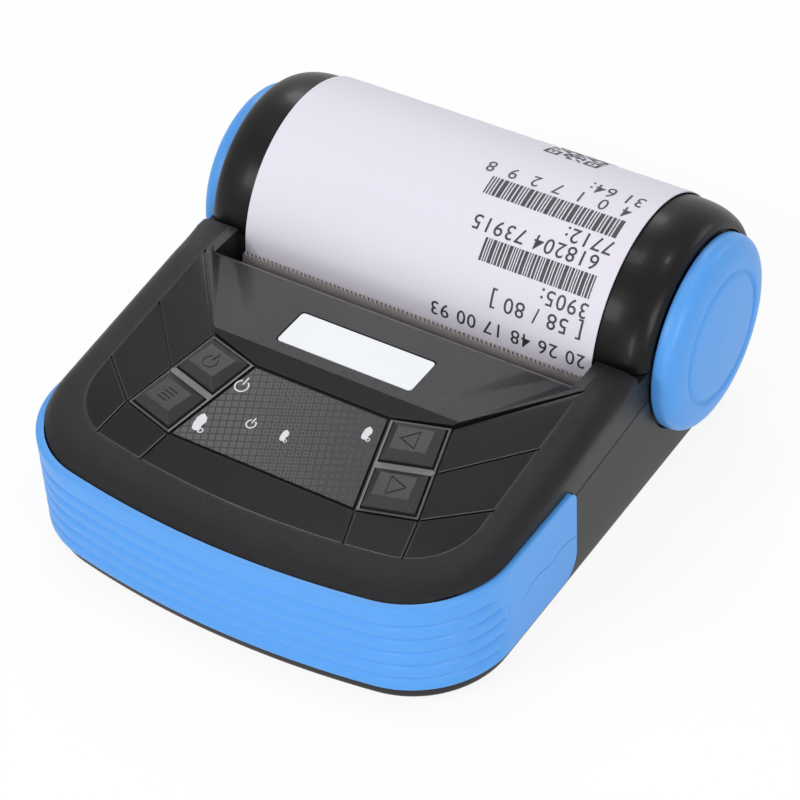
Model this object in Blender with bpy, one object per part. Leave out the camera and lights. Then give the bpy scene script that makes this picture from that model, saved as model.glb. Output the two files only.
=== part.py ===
"""A portable receipt printer, as separate pieces in metres with +Z up.

X runs across the printer, -Y is the bumper end with the keys, and the origin lies under the middle of the
body on the surface that it stands on. The rear cover is half a drum, and most of the rear follows its axis.
"""

import math

import bmesh
import bpy
from mathutils import Matrix, Vector

MM = 0.001

# Clearances and walls that many pieces share
GAP = 0.3 * MM
OVERRUN = 5.0 * MM
OVERLAP = 1.0 * MM
WALL = 2.4 * MM
WELD_DISTANCE = 0.002 * MM
AXIS_RADIUS = 0.01 * MM

# Widths, worked out from the paper to the outside of the body
PAPER_HALF = 39.75 * MM
PLATEN_MARGIN = 0.25 * MM
BIN_ROOM = 0.35 * MM
SLOT_ROOM = 1.25 * MM
BUSH_LENGTH = 1.1 * MM
CHEEK_ROOM = 0.4 * MM
CHEEK_THICK = 1.0 * MM
LATCH_ROOM = 1.0 * MM
LATCH_THICK = 2.0 * MM
CATCH_ROOM = 0.5 * MM
GEAR_ROOM = 0.4 * MM
GEAR_WIDTH = 2.4 * MM
SIDE_WALL = 4.0 * MM
POCKET_DEPTH = 1.8 * MM
DISC_ROOM = 0.2 * MM
LUG_INSET = 5.75 * MM
HEAD_SPRING_INSET = 14.75 * MM
FRONT_SCREW_INSET = 14.0 * MM
PLATEN_HALF = PAPER_HALF + PLATEN_MARGIN
BIN_HALF = PAPER_HALF + BIN_ROOM
SLOT_HALF = PAPER_HALF + SLOT_ROOM
LINER_HALF = PLATEN_HALF + GAP + BUSH_LENGTH
CHEEK_X = LINER_HALF + CHEEK_ROOM
LATCH_X = LINER_HALF + LATCH_ROOM
CATCH_X = LATCH_X + LATCH_THICK + CATCH_ROOM
GEAR_HIGH_X = -(CHEEK_X + CHEEK_THICK + GEAR_ROOM)
GEAR_LOW_X = GEAR_HIGH_X - GEAR_WIDTH
SIDE_INNER_X = GEAR_ROOM - GEAR_LOW_X
HALF_WIDTH = SIDE_INNER_X + SIDE_WALL
POCKET_X = HALF_WIDTH - POCKET_DEPTH
DISC_REAR_X = HALF_WIDTH + DISC_ROOM
BARREL_HALF = PAPER_HALF - LUG_INSET
HEAD_SPRING_X = PAPER_HALF - HEAD_SPRING_INSET
FRONT_SCREW_X = HALF_WIDTH - FRONT_SCREW_INSET

# Radii, worked out from the roll to the outside of the drum
ROLL_RADIUS = 15.4 * MM
ROLL_ROOM = 1.4 * MM
BIN_WALL = 1.2 * MM
BIN_ROUND = 3.9 * MM
LINER_ROOM = 0.1 * MM
DRUM_WALL = 2.2 * MM
DISC_MARGIN = 4.2 * MM
BIN_RADIUS = ROLL_RADIUS + ROLL_ROOM
BAY_RADIUS = BIN_RADIUS + BIN_WALL + BIN_ROUND
DRUM_RADIUS = BAY_RADIUS + LINER_ROOM + DRUM_WALL
DISC_RADIUS = DRUM_RADIUS - DISC_MARGIN

# Lengths, worked out from the rear wall to the mechanism in front of the drum
REAR_Y = 60.2 * MM
BARREL_RADIUS = 2.3 * MM
HINGE_MARGIN = 0.3 * MM
DECK_ROOM = 0.4 * MM
EAR_LENGTH = 2.1 * MM
VALLEY_LENGTH = 7.4 * MM
ROLL_SETBACK = 2.6 * MM
ROLL_TO_MOUTH = 13.0 * MM
PLATEN_SETBACK = 5.8 * MM
PLATEN_RADIUS = 5.25 * MM
HEAD_ROOM = 0.85 * MM
HEAD_TO_WALL = 6.9 * MM
PLATEN_TO_MOTOR = 20.6 * MM
DRUM_Y = REAR_Y - DRUM_RADIUS
HINGE_Y = REAR_Y - BARREL_RADIUS - HINGE_MARGIN
DRUM_FRONT_Y = DRUM_Y - DRUM_RADIUS
DECK_REAR_Y = DRUM_FRONT_Y - DECK_ROOM
EAR_Y = DECK_REAR_Y - EAR_LENGTH
VALLEY_CREST_Y = DECK_REAR_Y - VALLEY_LENGTH
ROLL_Y = DRUM_Y + ROLL_SETBACK
BIN_FRONT_Y = ROLL_Y - ROLL_TO_MOUTH
PLATEN_Y = DRUM_FRONT_Y + PLATEN_SETBACK
HEAD_FACE_Y = PLATEN_Y - PLATEN_RADIUS - HEAD_ROOM
FRAME_WALL_Y = HEAD_FACE_Y - HEAD_TO_WALL
MOTOR_Y = PLATEN_Y - PLATEN_TO_MOTOR

# Heights, worked out from the floor under the roll
FLOOR_Z = 3.0 * MM
BAY_FLOOR = 1.7 * MM
HINGE_RISE = 2.4 * MM
ARM_RISE = 4.4 * MM
SKIRT_RISE = 1.0 * MM
REAR_WALL_DROP = 0.2 * MM
ROLL_DROP = 3.5 * MM
BIN_DROP = 2.4 * MM
BIN_TOP_DROP = 5.2 * MM
PLATEN_DROP = 3.8 * MM
HEAD_DROP = 2.2 * MM
HEAD_HEIGHT = 6.9 * MM
SPRING_DROP = 2.0 * MM
SINK_DROP = 4.5 * MM
MOTOR_DROP = 11.8 * MM
SEAM_DROP = 3.75 * MM
BUMPER_OVER_SEAM = 1.95 * MM
EDGE_RISE = 5.45 * MM
CREASE_RISE = 4.8 * MM
BROW_RISE = 4.9 * MM
PLATE_RISE = 6.65 * MM
DRUM_Z = FLOOR_Z + BAY_FLOOR + BAY_RADIUS
HINGE_Z = DRUM_Z + HINGE_RISE
ARM_TOP_Z = DRUM_Z + ARM_RISE
SKIRT_Z = DRUM_Z + SKIRT_RISE
REAR_WALL_Z = DRUM_Z - REAR_WALL_DROP
ROLL_Z = DRUM_Z - ROLL_DROP
BIN_Z = DRUM_Z - BIN_DROP
BIN_TOP_Z = DRUM_Z - BIN_TOP_DROP
PLATEN_Z = DRUM_Z - PLATEN_DROP
HEAD_TOP_Z = DRUM_Z - HEAD_DROP
HEAD_LOW_Z = HEAD_TOP_Z - HEAD_HEIGHT
HEAD_SPRING_Z = HEAD_LOW_Z - SPRING_DROP
SINK_LOW_Z = HEAD_SPRING_Z - SINK_DROP
MOTOR_Z = PLATEN_Z - MOTOR_DROP
SEAM_Z = DRUM_Z - SEAM_DROP
BUMPER_TOP_Z = SEAM_Z + BUMPER_OVER_SEAM
EDGE_Z = SEAM_Z + EDGE_RISE
CREASE_Z = EDGE_Z + CREASE_RISE
BROW_Z = EDGE_Z + BROW_RISE
PLATE_Z = EDGE_Z + PLATE_RISE

# Body shell, outside
FRONT_Y = -59.4 * MM
FRONT_CORNER = 20.0 * MM
FRONT_SWEEP = 190.0 * MM
REAR_CORNER = 6.0 * MM
SHELL_FOOT_Z = 0.6 * MM
FOOT_ROUND_Z = 1.8 * MM
FOOT_TUCK = 1.4 * MM
BOTTOM_TUCK = 0.5 * MM
SEAM_SLOPE = 0.0735
SEAM_GAP = 0.15 * MM

# Rim and deck of the upper shell
RIM_SIDE = 6.7 * MM
RIM_FRONT = 9.9 * MM
RIM_POWER = 3.2
EDGE_SLOPE = 0.15
EAR_RISE = 1.6 * MM
CREASE_SLOPE = 0.13
PLATE_SLOPE = 0.153
BROW_FRONT_Y = -15.9 * MM
BROW_FRONT_X = 13.6 * MM
FRAME_LENGTH = 21.1 * MM
FRAME_FRONT_Y = -41.2 * MM
LABEL_FRONT_X = 20.8 * MM
LABEL_REAR_X = 15.2 * MM
CELL_WIDTH = 11.8 * MM
CELL_SKEW = 3.1 * MM
KEY_DECK = 2.2 * MM

# Drum, hinge and side discs
SHOULDER_X = 8.0 * MM
SHOULDER_R = 3.3 * MM
LUG_WIDTH = 7.7 * MM
PIN_RADIUS = 1.0 * MM
DISC_THICK = 5.4 * MM
DISC_TRAVEL = 1.6 * MM
POCKET_GAP = 0.4 * MM
STEM_RADIUS = 3.0 * MM

# Bumper
BUMPER_BOTTOM_Z = 4.1 * MM
BUMPER_OUT = 0.8 * MM
BUMPER_IN = 0.8 * MM
BUMPER_END_Y = -13.0 * MM
RIB_COUNT = 5
RIB_DEPTH = 0.45 * MM

# Paper, platen and print head
PAPER_THICK = 0.2 * MM
CORE_RADIUS = 7.5 * MM
CORE_BORE = 6.0 * MM
SHAFT_RADIUS = 1.5 * MM
BUSH_RADIUS = 2.6 * MM
BIN_LIP_ANGLE = -108.0

# Gear train on the left cheek
GEAR_MODULE = 0.6 * MM
PLATEN_TEETH = 16
LOWER_TEETH = 14
MIDDLE_TEETH = 26
PINION_TEETH = 8
MOTOR_RADIUS = 7.0 * MM
MOTOR_LENGTH = 15.0 * MM
MOTOR_SHAFT_RADIUS = 0.9 * MM

# Keys and their board, measured along the deck's normal
KEY_INSET = 0.7 * MM
KEY_RISE = 1.7 * MM
KEY_BEVEL = 1.3 * MM
KEY_TRAVEL = 0.9 * MM
KEY_FLANGE = 0.8 * MM
BOARD_DEPTH = 6.2 * MM
BOARD_THICK = 1.2 * MM
SWITCH_HEIGHT = 1.6 * MM
SWITCH_SIDE = 6.0 * MM
LABEL_THICK = 0.4 * MM
NAME_HALF = 15.2 * MM
NAME_DEPTH = 9.3 * MM
NAME_Y = -8.4 * MM

# Screws, bosses and feet
SCREW_HOLE = 1.2 * MM
SCREW_BITE = 2.0 * MM
SCREW_HEAD_RADIUS = 1.6 * MM
SCREW_HEAD_Z = 0.9 * MM
SCREW_HEAD_HEIGHT = 1.2 * MM
SCREW_SLOT = 0.4 * MM
FRONT_SCREW_Y = -50.0 * MM
FRONT_BOSS_RADIUS = 3.0 * MM
MID_SCREW_Y = -15.2 * MM
MID_BOSS_RADIUS = 2.0 * MM
BOSS_DROP = 2.0 * MM
FOOT_RADIUS = 4.0 * MM
FOOT_HEIGHT = 1.4 * MM
FOOT_BEVEL = 0.3 * MM

# Small pieces
KEY_BAY_MARGIN = 1.0 * MM
KEY_FLANGE_REACH = 0.6 * MM
LABEL_INSET = 0.5 * MM
POST_RADIUS = 1.5 * MM
BATTERY_LENGTH = 32.0 * MM
BATTERY_HEIGHT = 15.7 * MM
BATTERY_ROOM = 1.0 * MM
MAIN_BOARD_WIDTH = 19.5 * MM
MAIN_BOARD_LENGTH = 20.0 * MM
SOCKET_LENGTH = 8.8 * MM
SOCKET_Y = -28.0 * MM
SOCKET_HALF = 4.0 * MM
SOCKET_Z = 7.0 * MM
SOCKET_HEIGHT = 3.4 * MM
HEAD_THICK = 0.8 * MM
SINK_THICK = 2.0 * MM
HEAD_SPRING_WIRE = 0.5 * MM
HEAD_SPRING_RADIUS = 2.6 * MM
DISC_SPRING_RADIUS = 7.0 * MM
CATCH_HALF = 2.0 * MM
CATCH_HEIGHT = 1.2 * MM
LATCH_HALF = 4.0 * MM
BRACKET_RIM = 1.2 * MM
LINER_THICK = 1.0 * MM
TEAR_PITCH = 1.0 * MM
TEAR_HEIGHT = 3.3 * MM
TEAR_TOOTH = 0.55 * MM
TEAR_THICK = 0.5 * MM
TEAR_LEAN = math.radians(6.0)
STRIP_END_ANGLE = 24.0

# Tables of shares: (height, set-back) up the bumper's end, (x, y) of the board posts over the label,
# (thickness, radius) over a disc's dome, and a square's corners
END_SHARES = ((0.0, 0.2), (0.39, 0.015), (0.84, 0.0), (1.0, 0.14))
POST_SHARES = ((-0.62, 0.85), (0.62, 0.85), (-0.75, 0.15), (0.75, 0.15))
DOME_SHARES = ((0.35, 1.0), (0.62, 0.955), (0.8, 0.86), (0.86, 0.74), (0.8, 0.715), (0.9, 0.69), (0.98, 0.4))
SQUARE_SHARES = ((-1, -1), (1, -1), (1, 1), (-1, 1))


def clear_scene():
    for old in list(bpy.data.objects):
        bpy.data.objects.remove(old, do_unlink=True)


def material(name, colour, roughness, metallic=0.0):
    made = bpy.data.materials.new(name)
    made.use_nodes = True
    shader = made.node_tree.nodes["Principled BSDF"]
    shader.inputs["Base Color"].default_value = (*colour, 1.0)
    shader.inputs["Roughness"].default_value = roughness
    shader.inputs["Metallic"].default_value = metallic
    made.diffuse_color = (*colour, 1.0)
    return made


def add_mesh(name, points, faces, made_of=None):
    mesh = bpy.data.meshes.new(name)
    mesh.from_pydata([tuple(point) for point in points], [], faces)
    mesh.validate()
    work = bmesh.new()
    work.from_mesh(mesh)
    bmesh.ops.remove_doubles(work, verts=work.verts, dist=WELD_DISTANCE)
    bmesh.ops.recalc_face_normals(work, faces=work.faces)
    work.to_mesh(mesh)
    work.free()
    made = bpy.data.objects.new(name, mesh)
    bpy.context.scene.collection.objects.link(made)
    if made_of:
        mesh.materials.append(made_of)
    return made


def loft(name, rings, made_of=None):
    """One closed solid through rings of equal length, capped at both ends."""
    count = len(rings[0])
    points = [point for ring in rings for point in ring]
    faces = []
    for level in range(len(rings) - 1):
        for step in range(count):
            after = (step + 1) % count
            low = level * count
            high = low + count
            faces.append((low + step, low + after, high + after, high + step))
    faces.append(tuple(reversed(range(count))))
    last = (len(rings) - 1) * count
    faces.append(tuple(range(last, last + count)))
    return add_mesh(name, points, faces, made_of)


def box(name, low, high, made_of=None):
    ring = [(low[0], low[1]), (high[0], low[1]), (high[0], high[1]), (low[0], high[1])]
    rings = [[(x, y, z) for x, y in ring] for z in (low[2], high[2])]
    return loft(name, rings, made_of)


def plate_x(name, outline, low_x, high_x, made_of=None):
    """An outline of (y, z) points extruded along X."""
    return loft(name, [[(x, y, z) for y, z in outline] for x in (low_x, high_x)], made_of)


def circle(centre_y, centre_z, radius, count=24, turn=0.0):
    steps = [turn + 2 * math.pi * step / count for step in range(count)]
    return [(centre_y + radius * math.cos(a), centre_z + radius * math.sin(a)) for a in steps]


def rod_x(name, centre, radius, low_x, high_x, count=24, made_of=None):
    return plate_x(name, circle(*centre, radius, count), low_x, high_x, made_of)


def rod_z(name, centre, radius, low_z, high_z, count=16, made_of=None):
    ring = circle(*centre, radius, count)
    return loft(name, [[(x, y, z) for x, y in ring] for z in (low_z, high_z)], made_of)


def turned_x(name, profile, centre, count, made_of=None):
    """A solid of revolution about the X line through centre, from (x, radius) points that end on the axis."""
    rings = []
    for x, radius in profile:
        rings.append([(x, y, z) for y, z in circle(*centre, max(radius, AXIS_RADIUS), count)])
    return loft(name, rings, made_of)


def as_cutter(cutter):
    cutter.hide_render = True
    cutter.display_type = "WIRE"
    return cutter


def combine(body, other, operation):
    modifier = body.modifiers.new(f"{operation.lower()} {other.name}", "BOOLEAN")
    modifier.operation = operation
    modifier.object = as_cutter(other)
    modifier.solver = "EXACT"


def cut(body, *cutters):
    for cutter in cutters:
        combine(body, cutter, "DIFFERENCE")


def join(body, *others):
    for other in others:
        combine(body, other, "UNION")


def seam_height(y):
    return SEAM_Z + SEAM_SLOPE * y


def edge_height(y):
    rise = EAR_RISE * min(max(y / EAR_Y, 0.0), 1.0) ** 2
    return EDGE_Z + EDGE_SLOPE * min(y, EAR_Y) + rise


def crease_height(y):
    return min(CREASE_Z + CREASE_SLOPE * y, BROW_Z)


def plate_height(y):
    return PLATE_Z + PLATE_SLOPE * y


def plan_outline(half_width, front, rear, corner=FRONT_CORNER, rear_corner=REAR_CORNER):
    """The body's plan as (x, y) points: a swept front, round front corners, straight sides."""
    across = half_width - corner
    inner = FRONT_SWEEP - corner
    corner_y = front + FRONT_SWEEP - math.sqrt(inner**2 - across**2)
    lean = math.asin(across / inner)
    front_steps, corner_steps, side_steps, rear_steps = 5, 7, 7, 4
    right = []
    for step in range(front_steps):
        angle = lean * step / front_steps
        right.append((FRONT_SWEEP * math.sin(angle), front + FRONT_SWEEP * (1 - math.cos(angle))))
    for step in range(corner_steps + 1):
        angle = lean + (math.pi / 2 - lean) * step / corner_steps
        right.append((across + corner * math.sin(angle), corner_y - corner * math.cos(angle)))
    side_end = rear - rear_corner
    for step in range(1, side_steps + 1):
        right.append((half_width, corner_y + (side_end - corner_y) * step / side_steps))
    for step in range(1, rear_steps + 1):
        angle = math.pi / 2 * step / rear_steps
        right.append(
            (
                half_width - rear_corner * (1 - math.cos(angle)),
                side_end + rear_corner * math.sin(angle),
            )
        )
    left = [(-x, y) for x, y in reversed(right[1:])]
    return right + left


def rim_ring(share, inset=0.0, rear=REAR_Y, rear_corner=REAR_CORNER):
    """One ring of the rounded rim: share 0 is the top of the side wall, share 1 the crease round the deck."""
    outline = plan_outline(
        HALF_WIDTH - inset - share * RIM_SIDE,
        FRONT_Y + inset + share * RIM_FRONT,
        rear,
        FRONT_CORNER - inset - share * RIM_SIDE * 0.9,
        rear_corner,
    )
    bulge = (1 - (1 - share) ** RIM_POWER) ** (1 / RIM_POWER)
    ring = []
    for x, y in outline:
        low = edge_height(y)
        ring.append((x, y, low + (crease_height(y) - low) * bulge - inset))
    return ring


def deck_points():
    """The right-hand corners of the label, the key cells and the brow, on the deck's middle plane."""
    flat = {
        "label_rear": (LABEL_REAR_X, FRAME_FRONT_Y + FRAME_LENGTH),
        "label_front": (LABEL_FRONT_X, FRAME_FRONT_Y),
        "cell_rear": (LABEL_REAR_X + CELL_WIDTH, FRAME_FRONT_Y + FRAME_LENGTH + CELL_SKEW),
        "cell_front": (LABEL_FRONT_X + CELL_WIDTH, FRAME_FRONT_Y + CELL_SKEW),
    }
    rear_x, rear_y = flat["cell_rear"]
    front_x, front_y = flat["cell_front"]
    flat["cell_middle"] = ((rear_x + front_x) / 2, (rear_y + front_y) / 2)
    placed = {name: (x, y, plate_height(y)) for name, (x, y) in flat.items()}
    placed["brow_front"] = (BROW_FRONT_X, BROW_FRONT_Y, BROW_Z)
    return placed


def nearest(ring, x, y):
    return min(range(len(ring)), key=lambda i: math.hypot(ring[i][0] - x, ring[i][1] - y))


def upper_outside():
    """The upper shell's outside down to the seam, with the deck's facets as its top."""
    low = [(x, y, seam_height(y) + SEAM_GAP) for x, y in plan_outline(HALF_WIDTH, FRONT_Y, REAR_Y)]
    rim_shares = (0.0, 0.06, 0.18, 0.38, 0.66, 1.0)
    rings = [low] + [rim_ring(share) for share in rim_shares]
    count = len(low)
    points = [point for ring in rings for point in ring]
    faces = [tuple(reversed(range(count)))]
    for level in range(len(rings) - 1):
        for step in range(count):
            after = (step + 1) % count
            low_at, high_at = level * count, (level + 1) * count
            faces.append((low_at + step, low_at + after, high_at + after, high_at + step))
    crease = rings[-1]
    first = (len(rings) - 1) * count
    named = deck_points()
    index = {}
    for name, (x, y, z) in named.items():
        index[name, 1] = len(points)
        points.append((x, y, z))
        index[name, -1] = len(points)
        points.append((-x, y, z))
    half = HALF_WIDTH - RIM_SIDE
    stations = {
        "front": nearest(crease, LABEL_FRONT_X + CELL_SKEW, FRONT_Y + RIM_FRONT),
        "corner": nearest(crease, half - 2 * CELL_SKEW, FRONT_Y + RIM_FRONT + CELL_SKEW),
        "side_front": nearest(crease, half, FRAME_FRONT_Y + CELL_WIDTH),
        "side_middle": nearest(crease, half, FRAME_FRONT_Y + FRAME_LENGTH + CELL_WIDTH / 2),
        "side_rear": nearest(crease, half, CELL_SKEW),
    }
    for side in (1, -1):

        def at(station):
            return station if side == 1 else (count - station) % count

        def stretch(start, end, inner):
            steps = range(stations[start], stations[end] + 1)
            outer = [first + at(step) for step in steps]
            faces.append(tuple(outer + [index[name, side] for name in inner]))

        stretch("front", "corner", ("cell_front", "label_front"))
        stretch("corner", "side_front", ("cell_front",))
        stretch("side_front", "side_middle", ("cell_middle", "cell_front"))
        stretch("side_middle", "side_rear", ("cell_rear", "cell_middle"))
        cells = ("label_front", "cell_front", "cell_middle", "cell_rear", "label_rear")
        faces.append(tuple(index[name, side] for name in cells))
        faces.append(tuple(index[name, side] for name in ("label_rear", "cell_rear", "brow_front")))
    front = stations["front"]
    front_steps = list(range(count - front, count)) + list(range(0, front + 1))
    label_front = [index["label_front", 1], index["label_front", -1]]
    faces.append(tuple([first + step for step in front_steps] + label_front))
    rear_steps = range(stations["side_rear"], count - stations["side_rear"] + 1)
    brow = [("cell_rear", -1), ("brow_front", -1), ("brow_front", 1), ("cell_rear", 1)]
    faces.append(tuple([first + step for step in rear_steps] + [index[key] for key in brow]))
    corners = ("label_rear", 1), ("label_rear", -1)
    faces.append(tuple(index[key] for key in (("brow_front", 1), ("brow_front", -1), *corners[::-1])))
    faces.append(tuple(index[key] for key in (*corners, ("label_front", -1), ("label_front", 1))))
    shell = add_mesh("upper_shell", points, faces, MATERIALS["deck black"])
    work = bmesh.new()
    work.from_mesh(shell.data)
    bmesh.ops.triangulate(work, faces=[face for face in work.faces if len(face.verts) > 4])
    bmesh.ops.recalc_face_normals(work, faces=work.faces)
    work.to_mesh(shell.data)
    work.free()
    return shell


def rear_tuck(z):
    """How far the body's rear wall leans in at height z, down to its foot."""
    drop = min(max((DRUM_Z - z) / (DRUM_Z - SHELL_FOOT_Z), 0.0), 1.0)
    return 3 * FOOT_TUCK * drop**4


def make_upper_shell():
    shell = upper_outside()
    inner_low = [(x, y, z - SEAM_GAP - OVERRUN) for x, y, z in rim_ring(0.0, WALL, 0.0, WALL)]
    inner = [inner_low] + [rim_ring(share, WALL, 0.0, WALL) for share in (0.0, 0.2, 0.5, 1.0)]
    front_bay = loft("cut_upper_front_bay", inner)
    roof_z = HEAD_TOP_Z + 2 * GAP
    works = box(
        "cut_upper_works",
        (-SIDE_INNER_X, -OVERRUN, SEAM_Z - OVERRUN),
        (SIDE_INNER_X, DECK_REAR_Y, roof_z),
    )
    drum = box(
        "cut_upper_drum",
        (-SIDE_INNER_X, DECK_REAR_Y, 0.0),
        (SIDE_INNER_X, REAR_Y + OVERRUN, BROW_Z + OVERRUN),
    )
    valley_foot = (HEAD_FACE_Y - 5 * GAP, HEAD_TOP_Z + 8 * GAP)
    valley = plate_x(
        "cut_upper_valley",
        [
            (VALLEY_CREST_Y, BROW_Z + GAP / 3),
            valley_foot,
            (valley_foot[0], SEAM_Z - OVERRUN),
            (DECK_REAR_Y + OVERRUN, SEAM_Z - OVERRUN),
            (DECK_REAR_Y + OVERRUN, BROW_Z + OVERRUN),
            (VALLEY_CREST_Y, BROW_Z + OVERRUN),
        ],
        -SLOT_HALF,
        SLOT_HALF,
    )
    reach = HALF_WIDTH + OVERRUN
    cover_space = box(
        "cut_upper_cover_space",
        (-reach, DECK_REAR_Y, ARM_TOP_Z),
        (reach, REAR_Y + OVERRUN, BROW_Z + OVERRUN),
    )
    rear_space = box(
        "cut_upper_rear_space",
        (-reach, HINGE_Y, SEAM_Z),
        (reach, REAR_Y + OVERRUN, BROW_Z + OVERRUN),
    )
    hinge = rod_x(
        "cut_upper_hinge", (HINGE_Y, HINGE_Z), BARREL_RADIUS + GAP, -reach, reach
    )
    cut(shell, front_bay, works, drum, valley, cover_space, rear_space, hinge)
    cut(shell, bumper_space("cut_upper_bumper"), *side_pockets("upper"))
    cut(shell, *key_holes(), key_bay(), label_recess(), name_recess())
    join(shell, *upper_posts())
    for number, (x, y, radius) in enumerate(screw_places()):
        top = seam_height(y) + SCREW_BITE + GAP
        cut(shell, rod_z(f"cut_upper_pilot_{number}", (x, y), SCREW_HOLE, 0.0, top, 10))
    return shell


def inset_outline(outline, distance):
    """A convex (x, y) outline with every side moved inwards."""
    count = len(outline)
    lines = []
    for i in range(count):
        start, end = Vector(outline[i]), Vector(outline[(i + 1) % count])
        along = (end - start).normalized()
        inward = Vector((-along.y, along.x))
        lines.append((start + inward * distance, along))
    moved = []
    for i in range(count):
        (p, d), (q, e) = lines[i - 1], lines[i]
        cross = d.x * e.y - d.y * e.x
        share = ((q - p).x * e.y - (q - p).y * e.x) / cross
        moved.append(tuple(p + d * share))
    return moved


def cell_outlines():
    """The four key cells as anticlockwise (x, y) outlines by key name."""
    flat = {name: Vector(point[:2]) for name, point in deck_points().items()}
    label_middle = (flat["label_rear"] + flat["label_front"]) / 2
    rear = [flat["label_rear"], label_middle, flat["cell_middle"], flat["cell_rear"]]
    front = [label_middle, flat["label_front"], flat["cell_front"], flat["cell_middle"]]
    outlines = {}
    for place, cell in (("rear", rear), ("front", front)):
        outlines[place, 1] = [tuple(point) for point in cell]
        outlines[place, -1] = [(-x, y) for x, y in reversed(outlines[place, 1])]
    return {
        "key_power": outlines["rear", -1],
        "key_menu": outlines["front", -1],
        "key_left": outlines["rear", 1],
        "key_right": outlines["front", 1],
    }


def on_deck(x, y, height):
    """A point at a height along the deck's normal over the plan place (x, y)."""
    normal = Vector((0.0, -PLATE_SLOPE, 1.0)).normalized()
    return Vector((x, y, plate_height(y))) + normal * height


def deck_slab(name, outlines, heights, made_of=None):
    """A solid through (x, y) outlines laid parallel to the deck at these heights over it."""
    rings = [[tuple(on_deck(x, y, h)) for x, y in ring] for ring, h in zip(outlines, heights)]
    return loft(name, rings, made_of)


def key_holes():
    holes = []
    for name, cell in cell_outlines().items():
        hole = inset_outline(cell, KEY_INSET)
        holes.append(deck_slab(f"cut_{name}_hole", [hole, hole], [-2 * KEY_DECK, OVERRUN]))
    return holes


def key_bay():
    side = LABEL_FRONT_X + CELL_WIDTH + 2 * KEY_BAY_MARGIN
    front = FRAME_FRONT_Y - KEY_BAY_MARGIN
    rear = FRAME_FRONT_Y + FRAME_LENGTH + CELL_SKEW + KEY_BAY_MARGIN
    outline = [(-side, front), (side, front), (side, rear), (-side, rear)]
    return deck_slab("cut_key_bay", [outline, outline], [-BOARD_DEPTH - OVERRUN, -KEY_DECK])


def label_outline():
    flat = deck_points()
    right = [flat["label_front"][:2], flat["label_rear"][:2]]
    left = [(-x, y) for x, y in reversed(right)]
    return right + left


def label_recess():
    outline = inset_outline(label_outline(), LABEL_INSET)
    depth = LABEL_THICK + GAP
    return deck_slab("cut_label_recess", [outline, outline], [-depth, OVERRUN])


def make_key_label():
    outline = inset_outline(label_outline(), LABEL_INSET + GAP)
    return deck_slab(
        "key_label", [outline, outline], [-LABEL_THICK, 0.0], MATERIALS["label film"]
    )


def name_recess():
    half, depth = NAME_HALF + GAP, NAME_DEPTH / 2 + GAP
    return box(
        "cut_name_recess",
        (-half, NAME_Y - depth, BROW_Z - 3 * LABEL_THICK),
        (half, NAME_Y + depth, BROW_Z + OVERRUN),
    )


def make_name_plate():
    low = BROW_Z - 3 * LABEL_THICK + GAP
    return box(
        "name_plate",
        (-NAME_HALF, NAME_Y - NAME_DEPTH / 2, low),
        (NAME_HALF, NAME_Y + NAME_DEPTH / 2, BROW_Z - LABEL_THICK / 2),
        MATERIALS["white plastic"],
    )


def upper_posts():
    """Posts from the deck to the key board, and the bosses that the case screws enter."""
    posts = []
    for number, (x_share, y_share) in enumerate(POST_SHARES):
        x, y = x_share * LABEL_FRONT_X, FRAME_FRONT_Y + y_share * FRAME_LENGTH
        ring = circle(x, y, POST_RADIUS, 10)
        posts.append(
            deck_slab(
                f"join_board_post_{number}",
                [ring, ring],
                [-BOARD_DEPTH + GAP, -KEY_DECK + LABEL_THICK],
            )
        )
    for number, (x, y, radius) in enumerate(screw_places()):
        top = crease_height(y) - WALL
        post = rod_z(
            f"join_upper_boss_{number}", (x, y), radius, seam_height(y) - BOSS_DROP, top, 12
        )
        posts.append(post)
    return posts


def screw_places():
    """(x, y, boss radius) of the four case screws."""
    places = []
    for side in (-1, 1):
        places.append((side * FRONT_SCREW_X, FRONT_SCREW_Y, FRONT_BOSS_RADIUS))
        places.append((side * (SIDE_INNER_X - MID_BOSS_RADIUS), MID_SCREW_Y, MID_BOSS_RADIUS))
    return places


def bumper_path(offset, end_y):
    """The bumper's plan line from its right end round the front to its left end."""
    half_width, front = HALF_WIDTH + offset, FRONT_Y - offset
    corner = FRONT_CORNER + offset
    sweep = FRONT_SWEEP + offset
    across = half_width - corner
    corner_y = front + sweep - math.sqrt((sweep - corner) ** 2 - across**2)
    lean = math.asin(across / (sweep - corner))
    right = [(half_width, end_y + (corner_y - end_y) * share) for share in (0.0, 0.5)]
    for step in range(9):
        angle = math.pi / 2 + (lean - math.pi / 2) * step / 8
        right.append((across + corner * math.sin(angle), corner_y - corner * math.cos(angle)))
    for step in range(1, 6):
        angle = lean * (1 - step / 6)
        right.append((sweep * math.sin(angle), front + sweep * (1 - math.cos(angle))))
    middle = [(0.0, front)]
    return right + middle + [(-x, y) for x, y in reversed(right)]


def bumper_end(z):
    """Where the bumper's end lies at height z: it leans forward at the foot and at the tip."""
    share = (z - BUMPER_BOTTOM_Z) / (BUMPER_TOP_Z - BUMPER_BOTTOM_Z)
    for (low, back), (high, back_high) in zip(END_SHARES, END_SHARES[1:]):
        if share <= high:
            here = back + (back_high - back) * (share - low) / (high - low)
            return BUMPER_END_Y - here * FRONT_CORNER
    return BUMPER_END_Y - END_SHARES[-1][1] * FRONT_CORNER


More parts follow.
